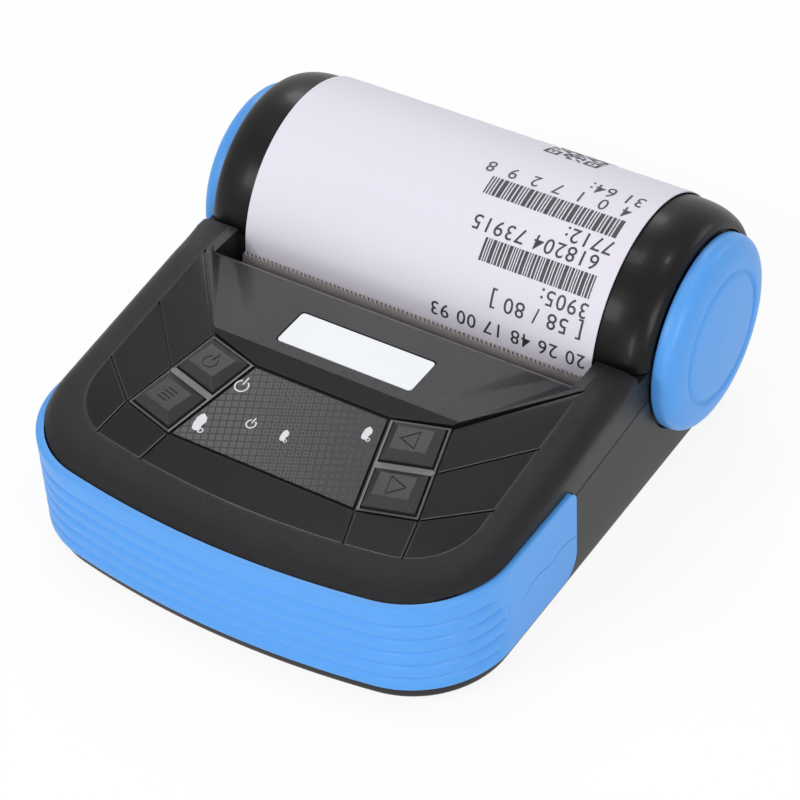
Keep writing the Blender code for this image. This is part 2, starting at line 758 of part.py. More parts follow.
def swept_bumper(name, profile, made_of=None):
    """A strip swept round the front. The profile holds (offset, height, groove depth) points."""
    sections = []
    fades = [0.0] * 6 + [0.4, 0.9] + [1.0] * 17 + [0.9, 0.4] + [0.0] * 6
    paths = []
    for offset, z, groove in profile:
        plain = bumper_path(offset, bumper_end(z))
        sunk = bumper_path(offset - groove, bumper_end(z))
        mixed = [
            (x + (gx - x) * fade, y + (gy - y) * fade, z)
            for (x, y), (gx, gy), fade in zip(plain, sunk, fades)
        ]
        paths.append(mixed)
    for station in range(len(paths[0])):
        sections.append([path[station] for path in paths])
    return loft(name, sections, made_of)


def make_front_bumper():
    outer = [(BUMPER_OUT - LABEL_THICK, BUMPER_BOTTOM_Z, 0.0)]
    outer.append((BUMPER_OUT, BUMPER_BOTTOM_Z + 2 * LABEL_THICK, 0.0))
    pitch = (BUMPER_TOP_Z - BUMPER_BOTTOM_Z) / (RIB_COUNT + 2)
    for rib in range(RIB_COUNT):
        z = BUMPER_BOTTOM_Z + pitch * (rib + 1.1)
        outer += [(BUMPER_OUT, z - RIB_DEPTH, 0.0), (BUMPER_OUT, z, RIB_DEPTH)]
        outer.append((BUMPER_OUT, z + RIB_DEPTH, 0.0))
    outer.append((BUMPER_OUT, BUMPER_TOP_Z - LABEL_THICK, 0.0))
    outer.append((BUMPER_OUT - LABEL_THICK, BUMPER_TOP_Z, 0.0))
    inner = [(-BUMPER_IN, BUMPER_TOP_Z, 0.0), (-BUMPER_IN, BUMPER_BOTTOM_Z, 0.0)]
    return swept_bumper("front_bumper", outer + inner, MATERIALS["blue plastic"])


def bumper_space(name):
    """The recess round the shells that the bumper sits in, one clearance larger all round."""
    low, high = BUMPER_BOTTOM_Z - GAP, BUMPER_TOP_Z + GAP
    deep = -BUMPER_IN - GAP
    levels = [low] + [BUMPER_BOTTOM_Z + share * (high - low) for share in (0.39, 0.84)] + [high]
    profile = [(OVERRUN, z, 0.0) for z in levels] + [(deep, z, 0.0) for z in reversed(levels)]
    space = swept_bumper(name, profile)
    for vertex in space.data.vertices:
        if vertex.co.y > FRONT_Y + FRONT_CORNER * 1.5:
            vertex.co.y += GAP
    return space


def side_pockets(owner):
    """The round pocket and the stem hole for each side disc."""
    cutters = []
    for side, word in ((-1, "left"), (1, "right")):
        low, high = sorted((side * POCKET_X, side * (HALF_WIDTH + OVERRUN)))
        centre = (DRUM_Y, DRUM_Z)
        radius = DISC_RADIUS + POCKET_GAP
        cutters.append(rod_x(f"cut_{owner}_pocket_{word}", centre, radius, low, high, 48))
        low, high = sorted((side * (SIDE_INNER_X - OVERRUN), side * (HALF_WIDTH + OVERRUN)))
        hole = STEM_RADIUS + GAP
        cutters.append(rod_x(f"cut_{owner}_stem_{word}", centre, hole, low, high, 20))
    return cutters


def make_lower_shell():
    levels = (
        (SHELL_FOOT_Z, FOOT_TUCK),
        (FOOT_ROUND_Z, BOTTOM_TUCK),
        (BUMPER_BOTTOM_Z, BOTTOM_TUCK * 0.7),
        ((BUMPER_BOTTOM_Z + SEAM_Z) / 2, BOTTOM_TUCK * 0.3),
    )
    rings = []
    for z, tuck in levels:
        rear = REAR_Y - rear_tuck(z) - tuck
        plan = plan_outline(HALF_WIDTH - tuck, FRONT_Y + tuck, rear, FRONT_CORNER - tuck)
        rings.append([(x, y, z) for x, y in plan])
    top = plan_outline(HALF_WIDTH, FRONT_Y, REAR_Y)
    rings.append([(x, y, seam_height(y) - SEAM_GAP) for x, y in top])
    shell = loft("lower_shell", rings, MATERIALS["shell black"])
    inner = []
    for z in (FLOOR_Z, SEAM_Z + OVERRUN):
        plan = plan_outline(HALF_WIDTH - WALL, FRONT_Y + WALL, DECK_REAR_Y, FRONT_CORNER - WALL)
        inner.append([(x, y, z) for x, y in plan])
    front_bay = loft("cut_lower_front_bay", inner)
    drum_bay = rod_x(
        "cut_lower_drum_bay",
        (DRUM_Y, DRUM_Z),
        BAY_RADIUS,
        -SIDE_INNER_X,
        SIDE_INNER_X,
        64,
    )
    works = box(
        "cut_lower_works",
        (-SIDE_INNER_X, 0.0, FLOOR_Z),
        (SIDE_INNER_X, DRUM_Y - BAY_RADIUS / 2, SEAM_Z + OVERRUN),
    )
    reach = HALF_WIDTH + OVERRUN
    rear_space = box(
        "cut_lower_rear_space",
        (-reach, HINGE_Y - BARREL_RADIUS - GAP, REAR_WALL_Z),
        (reach, REAR_Y + OVERRUN, SEAM_Z + 2 * OVERRUN),
    )
    cut(shell, front_bay, drum_bay, works, rear_space)
    cut(shell, bumper_space("cut_lower_bumper"), *side_pockets("lower"))
    for side, word in ((-1, "left"), (1, "right")):
        inner_x, outer_x = side * (BARREL_HALF + GAP), side * (BARREL_HALF + GAP + LUG_WIDTH)
        low, high = sorted((inner_x, outer_x))
        lug = rod_x(
            f"join_lug_{word}", (HINGE_Y, HINGE_Z), BARREL_RADIUS, low, high, 24
        )
        foot_low = (low, HINGE_Y - 0.2 * BARREL_RADIUS, REAR_WALL_Z - OVERLAP)
        foot_high = (high, HINGE_Y + 0.9 * BARREL_RADIUS, HINGE_Z)
        foot = box(f"join_lug_foot_{word}", foot_low, foot_high)
        join(shell, foot, lug)
    bore = rod_x(
        "cut_lower_pin_bore",
        (HINGE_Y, HINGE_Z),
        PIN_RADIUS + GAP,
        -reach,
        reach,
    )
    cut(shell, bore)
    for number, (x, y, radius) in enumerate(screw_places()):
        top = seam_height(y) - BOSS_DROP - GAP
        boss = rod_z(f"join_lower_boss_{number}", (x, y), radius, FLOOR_Z - OVERLAP, top, 12)
        join(shell, boss)
        shank = rod_z(f"cut_lower_shank_{number}", (x, y), SCREW_HOLE, 0.0, top + OVERRUN, 10)
        hole, depth = SCREW_HEAD_RADIUS + GAP, SCREW_HEAD_Z + SCREW_HEAD_HEIGHT + GAP
        head = rod_z(f"cut_lower_head_{number}", (x, y), hole, 0.0, depth, 12)
        cut(shell, shank, head)
    for number, (x, y) in enumerate(foot_places()):
        radius, depth = FOOT_RADIUS + GAP, FOOT_HEIGHT + GAP
        cut(shell, rod_z(f"cut_foot_pocket_{number}", (x, y), radius, 0.0, depth, 20))
    cut(shell, *socket_opening())
    return shell


def foot_places():
    places = []
    for y in (FRONT_Y + FRONT_CORNER * 1.1, REAR_Y - FRONT_CORNER):
        for side in (-1, 1):
            places.append((side * (HALF_WIDTH - FRONT_CORNER * 0.6), y))
    return places


def make_feet():
    words = ("front_left", "front_right", "rear_left", "rear_right")
    for word, (x, y) in zip(words, foot_places()):
        foot = rod_z(
            f"foot_{word}", (x, y), FOOT_RADIUS, 0.0, FOOT_HEIGHT, 20, MATERIALS["rubber"]
        )
        bevel = foot.modifiers.new("bevel", "BEVEL")
        bevel.width = FOOT_BEVEL
        bevel.segments = 1


def socket_opening():
    low = (-HALF_WIDTH - OVERRUN, SOCKET_Y - SOCKET_HALF - GAP, SOCKET_Z - GAP)
    high = (-HALF_WIDTH + 2 * WALL, SOCKET_Y + SOCKET_HALF + GAP, SOCKET_Z + SOCKET_HEIGHT + GAP)
    return [box("cut_socket_opening", low, high)]


def make_screws():
    words = ("front_left", "mid_left", "front_right", "mid_right")
    top = SCREW_HEAD_Z + SCREW_HEAD_HEIGHT
    for word, (x, y, _) in zip(words, screw_places()):
        head = rod_z(
            f"case_screw_{word}", (x, y), SCREW_HEAD_RADIUS, SCREW_HEAD_Z, top, 12, MATERIALS["steel"]
        )
        tip = seam_height(y) + SCREW_BITE
        shank = rod_z(f"join_shank_{word}", (x, y), SCREW_HOLE - GAP, top - SCREW_SLOT, tip, 10)
        half = SCREW_HOLE - GAP
        slot = box(
            f"cut_screw_slot_{word}",
            (x - half, y - SCREW_SLOT / 2, 0.0),
            (x + half, y + SCREW_SLOT / 2, SCREW_HEAD_Z + SCREW_SLOT),
        )
        join(head, shank)
        cut(head, slot)


def make_keys():
    for name, cell in cell_outlines().items():
        hole = inset_outline(cell, KEY_INSET)
        cap = inset_outline(cell, KEY_INSET + GAP)
        top = inset_outline(cap, KEY_BEVEL)
        flange = inset_outline(cell, KEY_INSET - KEY_FLANGE_REACH)
        heights = [-KEY_DECK - GAP - KEY_FLANGE, -KEY_DECK - GAP]
        outlines = [flange, flange, cap, cap, top]
        heights += [-KEY_DECK - GAP, KEY_RISE - KEY_BEVEL, KEY_RISE]
        deck_slab(name, outlines, heights, MATERIALS["key black"])


def make_key_board():
    side, front = LABEL_FRONT_X + CELL_WIDTH, FRAME_FRONT_Y + KEY_BAY_MARGIN
    rear = FRAME_FRONT_Y + FRAME_LENGTH + CELL_SKEW - KEY_BAY_MARGIN
    outline = [(-side, front), (side, front), (side, rear), (-side, rear)]
    heights = [-BOARD_DEPTH - BOARD_THICK, -BOARD_DEPTH]
    deck_slab("key_board", [outline, outline], heights, MATERIALS["board green"])
    for name, cell in cell_outlines().items():
        middle = sum((Vector(point) for point in cell), Vector((0.0, 0.0))) / 4
        half = SWITCH_SIDE / 2
        square = [(middle.x + sx * half, middle.y + sy * half) for sx, sy in SQUARE_SHARES]
        low = -BOARD_DEPTH + GAP
        heights = [low, low + SWITCH_HEIGHT - GAP]
        name = name.replace("key", "switch")
        deck_slab(name, [square, square], heights, MATERIALS["steel"])


def arc(centre, radius, start, end, count):
    """(y, z) points along an arc, angles in degrees from +Y towards +Z."""
    steps = [math.radians(start + (end - start) * step / count) for step in range(count + 1)]
    return [(centre[0] + radius * math.cos(a), centre[1] + radius * math.sin(a)) for a in steps]


def make_paper_bin():
    """A trough under the roll, open in front where the paper leaves, with end walls and two ribs under it."""
    middle = (ROLL_Y, BIN_Z)
    outer = BIN_RADIUS + BIN_WALL
    trough = arc(middle, BIN_RADIUS, -8, BIN_LIP_ANGLE, 16) + arc(middle, outer, BIN_LIP_ANGLE, -8, 16)
    half = BIN_HALF + BIN_WALL
    tub = plate_x("paper_bin", trough, -half, half, MATERIALS["shell black"])
    end = arc(middle, BIN_RADIUS + BIN_WALL / 2, -10, BIN_LIP_ANGLE, 14)
    front_z = BIN_Z - BIN_RADIUS / 2
    end += [(BIN_FRONT_Y, front_z), (BIN_FRONT_Y, BIN_TOP_Z), (end[0][0], BIN_TOP_Z)]
    rib = arc((DRUM_Y, DRUM_Z), BAY_RADIUS - GAP, -70, -100, 5)
    rib += arc(middle, BIN_RADIUS + BIN_WALL / 2, -105, -60, 5)
    for side, word in ((-1, "left"), (1, "right")):
        low, high = sorted((side * BIN_HALF, side * half))
        join(tub, plate_x(f"join_bin_end_{word}", end, low, high))
        low, high = sorted((side * BIN_HALF / 2, side * (BIN_HALF / 2 + 2 * BIN_WALL)))
        join(tub, plate_x(f"join_bin_rib_{word}", rib, low, high))
    return tub


def make_paper_roll():
    centre = (ROLL_Y, ROLL_Z)
    roll = rod_x("paper_roll", centre, ROLL_RADIUS, -PAPER_HALF, PAPER_HALF, 48, MATERIALS["paper"])
    reach = PAPER_HALF + OVERRUN
    cut(roll, rod_x("cut_roll", centre, CORE_RADIUS + GAP, -reach, reach, 32))
    core = rod_x("roll_core", centre, CORE_RADIUS, -PAPER_HALF, PAPER_HALF, 32, MATERIALS["card"])
    cut(core, rod_x("cut_core", centre, CORE_BORE, -reach, reach, 32))


def strip_outline(line, thickness):
    """A closed (y, z) outline of this thickness, laid to the left of a line of points."""
    left = []
    for i, point in enumerate(line):
        before, after = line[max(i - 1, 0)], line[min(i + 1, len(line) - 1)]
        along = Vector((after[0] - before[0], after[1] - before[1])).normalized()
        left.append((point[0] - along.y * thickness, point[1] + along.x * thickness))
    return line + left[::-1]


def make_paper_web():
    """The sheet from the roll's front round the platen's underside and up to the tear bar."""
    near, far = ROLL_RADIUS + GAP, PLATEN_RADIUS + GAP
    span = math.hypot(ROLL_Y - PLATEN_Y, ROLL_Z - PLATEN_Z)
    heading = math.atan2(PLATEN_Z - ROLL_Z, PLATEN_Y - ROLL_Y) % (2 * math.pi)
    leave = math.degrees(heading + math.acos((near - far) / span))
    line = arc((ROLL_Y, ROLL_Z), near, leave, leave, 1)[:1]
    line += arc((PLATEN_Y, PLATEN_Z), far, leave, 180, 8)
    line.append((PLATEN_Y - far, PLATEN_Z + 5 * GAP))
    outline = strip_outline(line, -PAPER_THICK)
    plate_x("paper_web", outline, -PAPER_HALF, PAPER_HALF, MATERIALS["paper"])


def make_receipt_strip():
    """The printed sheet, up out of the slot and back over the cover."""
    drum = (DRUM_Y, DRUM_Z)
    radius = DRUM_RADIUS + GAP
    line = [(PLATEN_Y - PLATEN_RADIUS - GAP, PLATEN_Z + 7 * GAP)]
    line += arc(drum, radius, 177, STRIP_END_ANGLE, 28)
    outline = strip_outline(line, PAPER_THICK)
    plate_x("receipt_strip", outline, -PAPER_HALF, PAPER_HALF, MATERIALS["paper"])


def make_platen():
    centre = (PLATEN_Y, PLATEN_Z)
    bore = SHAFT_RADIUS + GAP / 3
    rubber = rod_x(
        "platen_rubber", centre, PLATEN_RADIUS, -PLATEN_HALF, PLATEN_HALF, 32, MATERIALS["rubber"]
    )
    reach = PLATEN_HALF + OVERRUN
    cut(rubber, rod_x("cut_platen", centre, bore + GAP, -reach, reach, 16))
    shaft_end = -GEAR_LOW_X
    rod_x("platen_shaft", centre, SHAFT_RADIUS, -shaft_end, shaft_end, 16, MATERIALS["steel"])
    for side, word in ((-1, "left"), (1, "right")):
        low, high = sorted((side * (PLATEN_HALF + GAP), side * LINER_HALF))
        bush = rod_x(f"platen_bush_{word}", centre, BUSH_RADIUS, low, high, 20, MATERIALS["brass"])
        cut(bush, rod_x(f"cut_bush_{word}", centre, bore + GAP, -reach, reach, 16))


def gear_outline(centre, teeth, turn):
    """A spur gear's (y, z) outline: four points a tooth, slim enough to mesh with clearance."""
    pitch_radius = teeth * GEAR_MODULE / 2
    tip, root = pitch_radius + 0.8 * GEAR_MODULE, pitch_radius - 1.25 * GEAR_MODULE
    outline = []
    for tooth in range(teeth):
        for radius, share in ((root, -0.27), (tip, -0.11), (tip, 0.11), (root, 0.27)):
            angle = turn + 2 * math.pi * (tooth + share) / teeth
            outline.append(
                (centre[0] + radius * math.cos(angle), centre[1] + radius * math.sin(angle))
            )
    return outline


def meshed_turn(driver, driver_teeth, driver_turn, centre, teeth):
    """The turn that puts this gear's teeth in the gaps of its driver's."""
    towards = math.atan2(centre.y - driver.y, centre.x - driver.x)
    phase = (towards - driver_turn) * driver_teeth / (2 * math.pi)
    return towards + math.pi - (0.5 - phase) * 2 * math.pi / teeth


def gear_places():
    """Centre, teeth, turn and bore of each gear. The lower idler lies straight against the cover's swing,
    so the platen gear draws out of it as the cover lifts, and the middle idler bridges to the motor."""
    platen, pinion = Vector((PLATEN_Y, PLATEN_Z)), Vector((MOTOR_Y, MOTOR_Z))
    swing = platen - Vector((HINGE_Y, HINGE_Z))
    down = Vector((-swing.y, swing.x)).normalized()
    lower = platen + down * (PLATEN_TEETH + LOWER_TEETH) * GEAR_MODULE / 2
    near = (PINION_TEETH + MIDDLE_TEETH) * GEAR_MODULE / 2
    far = (LOWER_TEETH + MIDDLE_TEETH) * GEAR_MODULE / 2
    along = lower - pinion
    span = along.length
    foot = (span**2 + near**2 - far**2) / (2 * span)
    rise = math.sqrt(max(near**2 - foot**2, 0.0))
    middle = pinion + (along * foot + Vector((-along.y, along.x)) * rise) / span
    turn = math.atan2(platen.y - lower.y, platen.x - lower.x)
    platen_turn = meshed_turn(lower, LOWER_TEETH, turn, platen, PLATEN_TEETH)
    middle_turn = meshed_turn(lower, LOWER_TEETH, turn, middle, MIDDLE_TEETH)
    pinion_turn = meshed_turn(middle, MIDDLE_TEETH, middle_turn, pinion, PINION_TEETH)
    return {
        "platen_gear": (platen, PLATEN_TEETH, platen_turn, SHAFT_RADIUS),
        "lower_gear": (lower, LOWER_TEETH, turn, SHAFT_RADIUS),
        "middle_gear": (middle, MIDDLE_TEETH, middle_turn, SHAFT_RADIUS),
        "motor_pinion": (pinion, PINION_TEETH, pinion_turn, 0.0),
    }


def make_gears():
    for name, (centre, teeth, turn, bore) in gear_places().items():
        outline = gear_outline(centre, teeth, turn)
        gear = plate_x(name, outline, GEAR_LOW_X, GEAR_HIGH_X, MATERIALS["nylon"])
        if bore:
            hole = rod_x(
                f"cut_{name}", centre, bore + GAP, GEAR_LOW_X - OVERRUN, GEAR_HIGH_X + OVERRUN, 16
            )
            cut(gear, hole)
        else:
            end = -CHEEK_X
            shaft = rod_x("join_motor_shaft", centre, MOTOR_SHAFT_RADIUS, GEAR_HIGH_X - OVERLAP, end)
            join(gear, shaft)
    low, high = GEAR_LOW_X, -CHEEK_X - CHEEK_THICK - GAP
    for name in ("lower", "middle"):
        centre = gear_places()[f"{name}_gear"][0]
        rod_x(f"{name}_gear_axle", centre, SHAFT_RADIUS, low, high, 16, MATERIALS["steel"])


def make_motor():
    centre = (MOTOR_Y, MOTOR_Z)
    low = -CHEEK_X + GAP
    rod_x("stepper_motor", centre, MOTOR_RADIUS, low, low + MOTOR_LENGTH, 32, MATERIALS["steel"])


def make_mechanism_frame():
    """A folded steel frame: two cheeks, open above for the platen shaft, and a front wall between them."""
    slot = SHAFT_RADIUS + 2 * GAP
    top = HEAD_TOP_Z - CHEEK_THICK
    rear = PLATEN_Y + 2 * BUSH_RADIUS
    outline = [
        (MOTOR_Y - 1.1 * MOTOR_RADIUS, FLOOR_Z + GAP),
        (rear, FLOOR_Z + GAP),
        (rear, top),
        (PLATEN_Y + slot, top),
        (PLATEN_Y + slot, PLATEN_Z - slot),
        (PLATEN_Y - slot, PLATEN_Z - slot),
        (PLATEN_Y - slot, top),
        (FRAME_WALL_Y, top),
        (MOTOR_Y + 0.8 * MOTOR_RADIUS, MOTOR_Z + 1.1 * MOTOR_RADIUS),
        (MOTOR_Y - 1.1 * MOTOR_RADIUS, MOTOR_Z + 1.1 * MOTOR_RADIUS),
    ]
    low = -CHEEK_X - CHEEK_THICK
    frame = plate_x("mechanism_frame", outline, low, -CHEEK_X, MATERIALS["zinc steel"])
    right = plate_x("join_right_cheek", outline, CHEEK_X, CHEEK_X + CHEEK_THICK)
    wall = box(
        "join_frame_wall",
        (low + CHEEK_THICK / 2, FRAME_WALL_Y, FLOOR_Z + 2 * GAP),
        (-low - CHEEK_THICK / 2, FRAME_WALL_Y + CHEEK_THICK, HEAD_TOP_Z - 4 * CHEEK_THICK),
    )
    join(frame, wall, right)
    reach = CHEEK_X - OVERRUN
    centre = (MOTOR_Y, MOTOR_Z)
    pinion_hole = GEAR_MODULE * (PINION_TEETH / 2 + 1)
    cut(frame, rod_x("cut_cheek_pinion", centre, pinion_hole, -HALF_WIDTH, -reach, 20))


def make_print_head():
    sink_y = HEAD_FACE_Y - HEAD_THICK - GAP
    half = CHEEK_X - 2 * GAP
    box(
        "head_heat_sink",
        (-half, sink_y - SINK_THICK, SINK_LOW_Z),
        (half, sink_y, HEAD_TOP_Z),
        MATERIALS["aluminium"],
    )
    box(
        "print_head",
        (-half, HEAD_FACE_Y - HEAD_THICK, HEAD_LOW_Z),
        (half, HEAD_FACE_Y, HEAD_TOP_Z),
        MATERIALS["ceramic"],
    )


def coil(name, start, end, radii, wire, turns, made_of, axis="Y"):
    """One unbroken wire helix from start to end along an axis, with end radii that may differ."""
    steps = int(turns * 10)
    curve = bpy.data.curves.new(name, "CURVE")
    curve.dimensions = "3D"
    curve.bevel_depth = wire / 2
    curve.bevel_resolution = 1
    curve.use_fill_caps = True
    line = curve.splines.new("POLY")
    line.points.add(steps)
    start, end = Vector(start), Vector(end)
    for step in range(steps + 1):
        share = step / steps
        angle = 2 * math.pi * turns * share
        radius = radii[0] + (radii[1] - radii[0]) * share
        middle = start.lerp(end, share)
        up, over = radius * math.sin(angle), radius * math.cos(angle)
        offset = Vector((over, 0.0, up)) if axis == "Y" else Vector((0.0, over, up))
        line.points[step].co = (*(middle + offset), 1.0)
    made = bpy.data.objects.new(name, curve)
    bpy.context.scene.collection.objects.link(made)
    curve.materials.append(made_of)
    return made


def make_springs():
    sink_front = HEAD_FACE_Y - HEAD_THICK - GAP - SINK_THICK
    wire = HEAD_SPRING_WIRE
    for side, word in ((-1, "left"), (1, "right")):
        x = side * HEAD_SPRING_X
        start = (x, FRAME_WALL_Y + CHEEK_THICK + GAP + wire / 2, HEAD_SPRING_Z)
        end = (x, sink_front - GAP - wire / 2, HEAD_SPRING_Z)
        radii = (HEAD_SPRING_RADIUS, HEAD_SPRING_RADIUS - 2 * wire)
        coil(f"head_spring_{word}", start, end, radii, wire, 3, MATERIALS["steel"])
        low_x, high_x = side * (POCKET_X + GAP + wire / 2), side * (DISC_REAR_X - GAP - wire / 2)
        start, end = (low_x, DRUM_Y, DRUM_Z), (high_x, DRUM_Y, DRUM_Z)
        radii = (DISC_SPRING_RADIUS, STEM_RADIUS + 4 * GAP)
        coil(f"disc_spring_{word}", start, end, radii, wire, 2, MATERIALS["steel"], "X")


def make_cover():
    drum = (DRUM_Y, DRUM_Z)
    side_face = DRUM_RADIUS - SHOULDER_R
    profile = [(-HALF_WIDTH, 0.0), (-HALF_WIDTH, side_face)]
    shoulder = []
    for step in range(1, 7):
        angle = math.pi / 2 * step / 6
        x = HALF_WIDTH - SHOULDER_X * (1 - math.cos(angle))
        shoulder.append((x, side_face + SHOULDER_R * math.sin(angle)))
    profile += [(-x, radius) for x, radius in shoulder] + list(reversed(shoulder))
    profile += [(HALF_WIDTH, side_face), (HALF_WIDTH, 0.0)]
    cover = turned_x("cover_shell", profile, drum, 72, MATERIALS["gloss black"])
    inside = rod_x(
        "cut_cover_inside", drum, DRUM_RADIUS - DRUM_WALL, -SIDE_INNER_X, SIDE_INNER_X, 72
    )
    reach = HALF_WIDTH + OVERRUN
    low_z = DRUM_Z - DRUM_RADIUS - OVERRUN
    bottom_z = ARM_TOP_Z + GAP
    middle_y = DRUM_Y - DRUM_RADIUS / 2
    under_rear = box(
        "cut_cover_under_rear", (-reach, middle_y, low_z), (reach, REAR_Y + OVERRUN, bottom_z)
    )
    skirt = SLOT_HALF - 2 * GAP
    ends = [
        box(f"cut_cover_under_{word}", low, high)
        for word, low, high in (
            ("left", (-reach, 0.0, low_z), (-skirt, middle_y + OVERLAP, bottom_z)),
            ("right", (skirt, 0.0, low_z), (reach, middle_y + OVERLAP, bottom_z)),
            ("skirt", (-reach, 0.0, low_z), (reach, middle_y + OVERLAP, SKIRT_Z)),
        )
    ]
    cut(cover, inside, under_rear, *ends, *side_pockets("cover"))
    hinge = (HINGE_Y, HINGE_Z)
    lug_end = BARREL_HALF + 2 * GAP + LUG_WIDTH
    ends = POCKET_X
    spans = [("middle", -BARREL_HALF, BARREL_HALF), ("left", -ends, -lug_end), ("right", lug_end, ends)]
    web_foot, web_top = HINGE_Y - 0.25 * BARREL_RADIUS, HINGE_Y + 0.65 * BARREL_RADIUS
    for word, low, high in spans:
        web = box(f"join_web_{word}", (low, web_foot, HINGE_Z), (high, web_top, bottom_z + 3 * GAP))
        barrel = rod_x(f"join_barrel_{word}", hinge, BARREL_RADIUS, low, high, 24)
        join(cover, web, barrel)
    for side, word in ((-1, "left"), (1, "right")):
        low, high = sorted((side * BARREL_HALF, side * lug_end))
        cut(cover, rod_x(f"cut_cover_lug_{word}", hinge, BARREL_RADIUS + GAP, low, high, 24))
        catch_low, catch_high = sorted((side * CATCH_X, side * (SIDE_INNER_X + OVERLAP)))
        join(
            cover,
            box(
                f"join_catch_{word}",
                (catch_low, DRUM_Y - CATCH_HALF, bottom_z),
                (catch_high, DRUM_Y + CATCH_HALF, bottom_z + CATCH_HEIGHT),
            ),
        )
    cut(cover, rod_x("cut_cover_pin", hinge, PIN_RADIUS + GAP, -lug_end, lug_end, 16))
    return cover


def make_hinge_pin():
    half = BARREL_HALF + GAP + LUG_WIDTH
    rod_x("hinge_pin", (HINGE_Y, HINGE_Z), PIN_RADIUS, -half, half, 16, MATERIALS["steel"])


def make_cover_liner():
    """The curved inner panel and its two brackets, which carry the platen."""
    drum = (DRUM_Y, DRUM_Z)
    outer = DRUM_RADIUS - DRUM_WALL - GAP
    curve = arc(drum, outer, 62, 166, 20)
    band = strip_outline(curve, LINER_THICK)
    liner = plate_x("cover_liner", band, -LINER_HALF, LINER_HALF, MATERIALS["shell black"])
    foot = arc((PLATEN_Y, PLATEN_Z), BUSH_RADIUS + BRACKET_RIM, 170, 400, 12)
    neck = arc(drum, outer - LINER_THICK / 2, 140, 168, 6)
    for side, word in ((-1, "left"), (1, "right")):
        low, high = sorted((side * (PLATEN_HALF + GAP), side * LINER_HALF))
        join(liner, plate_x(f"join_bracket_{word}", foot + neck, low, high))
        bore = BUSH_RADIUS + GAP
        low, high = sorted((side * PLATEN_HALF, side * (LINER_HALF + OVERRUN)))
        cut(liner, rod_x(f"cut_bracket_{word}", (PLATEN_Y, PLATEN_Z), bore, low, high, 20))
    return liner


def make_discs():
    """The blue side discs: each is pushed in on its stem to free the cover."""
    for side, word in ((-1, "left"), (1, "right")):
        rear, thick, radius = DISC_REAR_X, DISC_THICK, DISC_RADIUS
        profile = [(LATCH_X + LATCH_THICK + GAP, 0.0), (LATCH_X + LATCH_THICK + GAP, STEM_RADIUS)]
        profile += [(rear, STEM_RADIUS), (rear, radius - GAP), (rear + GAP, radius)]
        profile += [(rear + thick * x, radius * r) for x, r in DOME_SHARES]
        profile.append((rear + thick, 0.0))
        if side == -1:
            profile = [(-x, r) for x, r in reversed(profile)]
        name = f"release_disc_{word}"
        turned_x(name, profile, (DRUM_Y, DRUM_Z), 48, MATERIALS["blue plastic"])
        low, high = sorted((side * LATCH_X, side * (LATCH_X + LATCH_THICK)))
        top = ARM_TOP_Z + 3 * GAP + CATCH_HEIGHT
        outline = [
            (DRUM_Y - LATCH_HALF, DRUM_Z - LATCH_HALF),
            (DRUM_Y + LATCH_HALF, DRUM_Z - LATCH_HALF),
            (DRUM_Y + CATCH_HALF, top),
            (DRUM_Y - CATCH_HALF, top),
        ]
        plate_x(f"latch_plate_{word}", outline, low, high, MATERIALS["nylon"])


def make_tear_bar():
    """A toothed steel strip that leans back over the slot."""
    half = PAPER_HALF + TEAR_PITCH / 4
    teeth = round(2 * half / TEAR_PITCH)
    pitch = 2 * half / teeth
    outline = [(-half, 0.0), (half, 0.0)]
    for tooth in range(teeth):
        right = half - tooth * pitch
        outline.append((right, TEAR_HEIGHT - TEAR_TOOTH))
        outline.append((right - pitch / 2, TEAR_HEIGHT))
    outline.append((-half, TEAR_HEIGHT - TEAR_TOOTH))
    foot_y, foot_z = HEAD_FACE_Y - 4 * GAP, HEAD_TOP_Z + 2 * GAP
    lean = Vector((0.0, math.sin(TEAR_LEAN), math.cos(TEAR_LEAN)))
    back = Vector((0.0, math.cos(TEAR_LEAN), -math.sin(TEAR_LEAN)))
    rings = []
    for depth in (0.0, TEAR_THICK):
        origin = Vector((0.0, foot_y, foot_z)) + back * depth
        rings.append([tuple(origin + Vector((x, 0.0, 0.0)) + lean * up) for x, up in outline])
    loft("tear_bar", rings, MATERIALS["steel"])


def make_electronics():
    motor_front = MOTOR_Y - 1.1 * MOTOR_RADIUS
    right = SIDE_INNER_X - 2 * MID_BOSS_RADIUS - BATTERY_ROOM
    left = MAIN_BOARD_WIDTH + 1.5 * BATTERY_ROOM - SIDE_INNER_X
    rear = motor_front - BATTERY_ROOM
    box(
        "battery_pack",
        (left, rear - BATTERY_LENGTH, FLOOR_Z + GAP),
        (right, rear, FLOOR_Z + GAP + BATTERY_HEIGHT),
        MATERIALS["battery wrap"],
    )
    low_x = -SIDE_INNER_X
    box(
        "main_board",
        (low_x, SOCKET_Y - MAIN_BOARD_LENGTH / 2, SOCKET_Z - GAP - BOARD_THICK),
        (low_x + MAIN_BOARD_WIDTH, SOCKET_Y + MAIN_BOARD_LENGTH / 2, SOCKET_Z - GAP),
        MATERIALS["board green"],
    )
    box(
        "charging_socket",
        (-HALF_WIDTH + WALL / 2, SOCKET_Y - SOCKET_HALF, SOCKET_Z),
        (-HALF_WIDTH + WALL / 2 + SOCKET_LENGTH, SOCKET_Y + SOCKET_HALF, SOCKET_Z + SOCKET_HEIGHT),
        MATERIALS["steel"],
    )


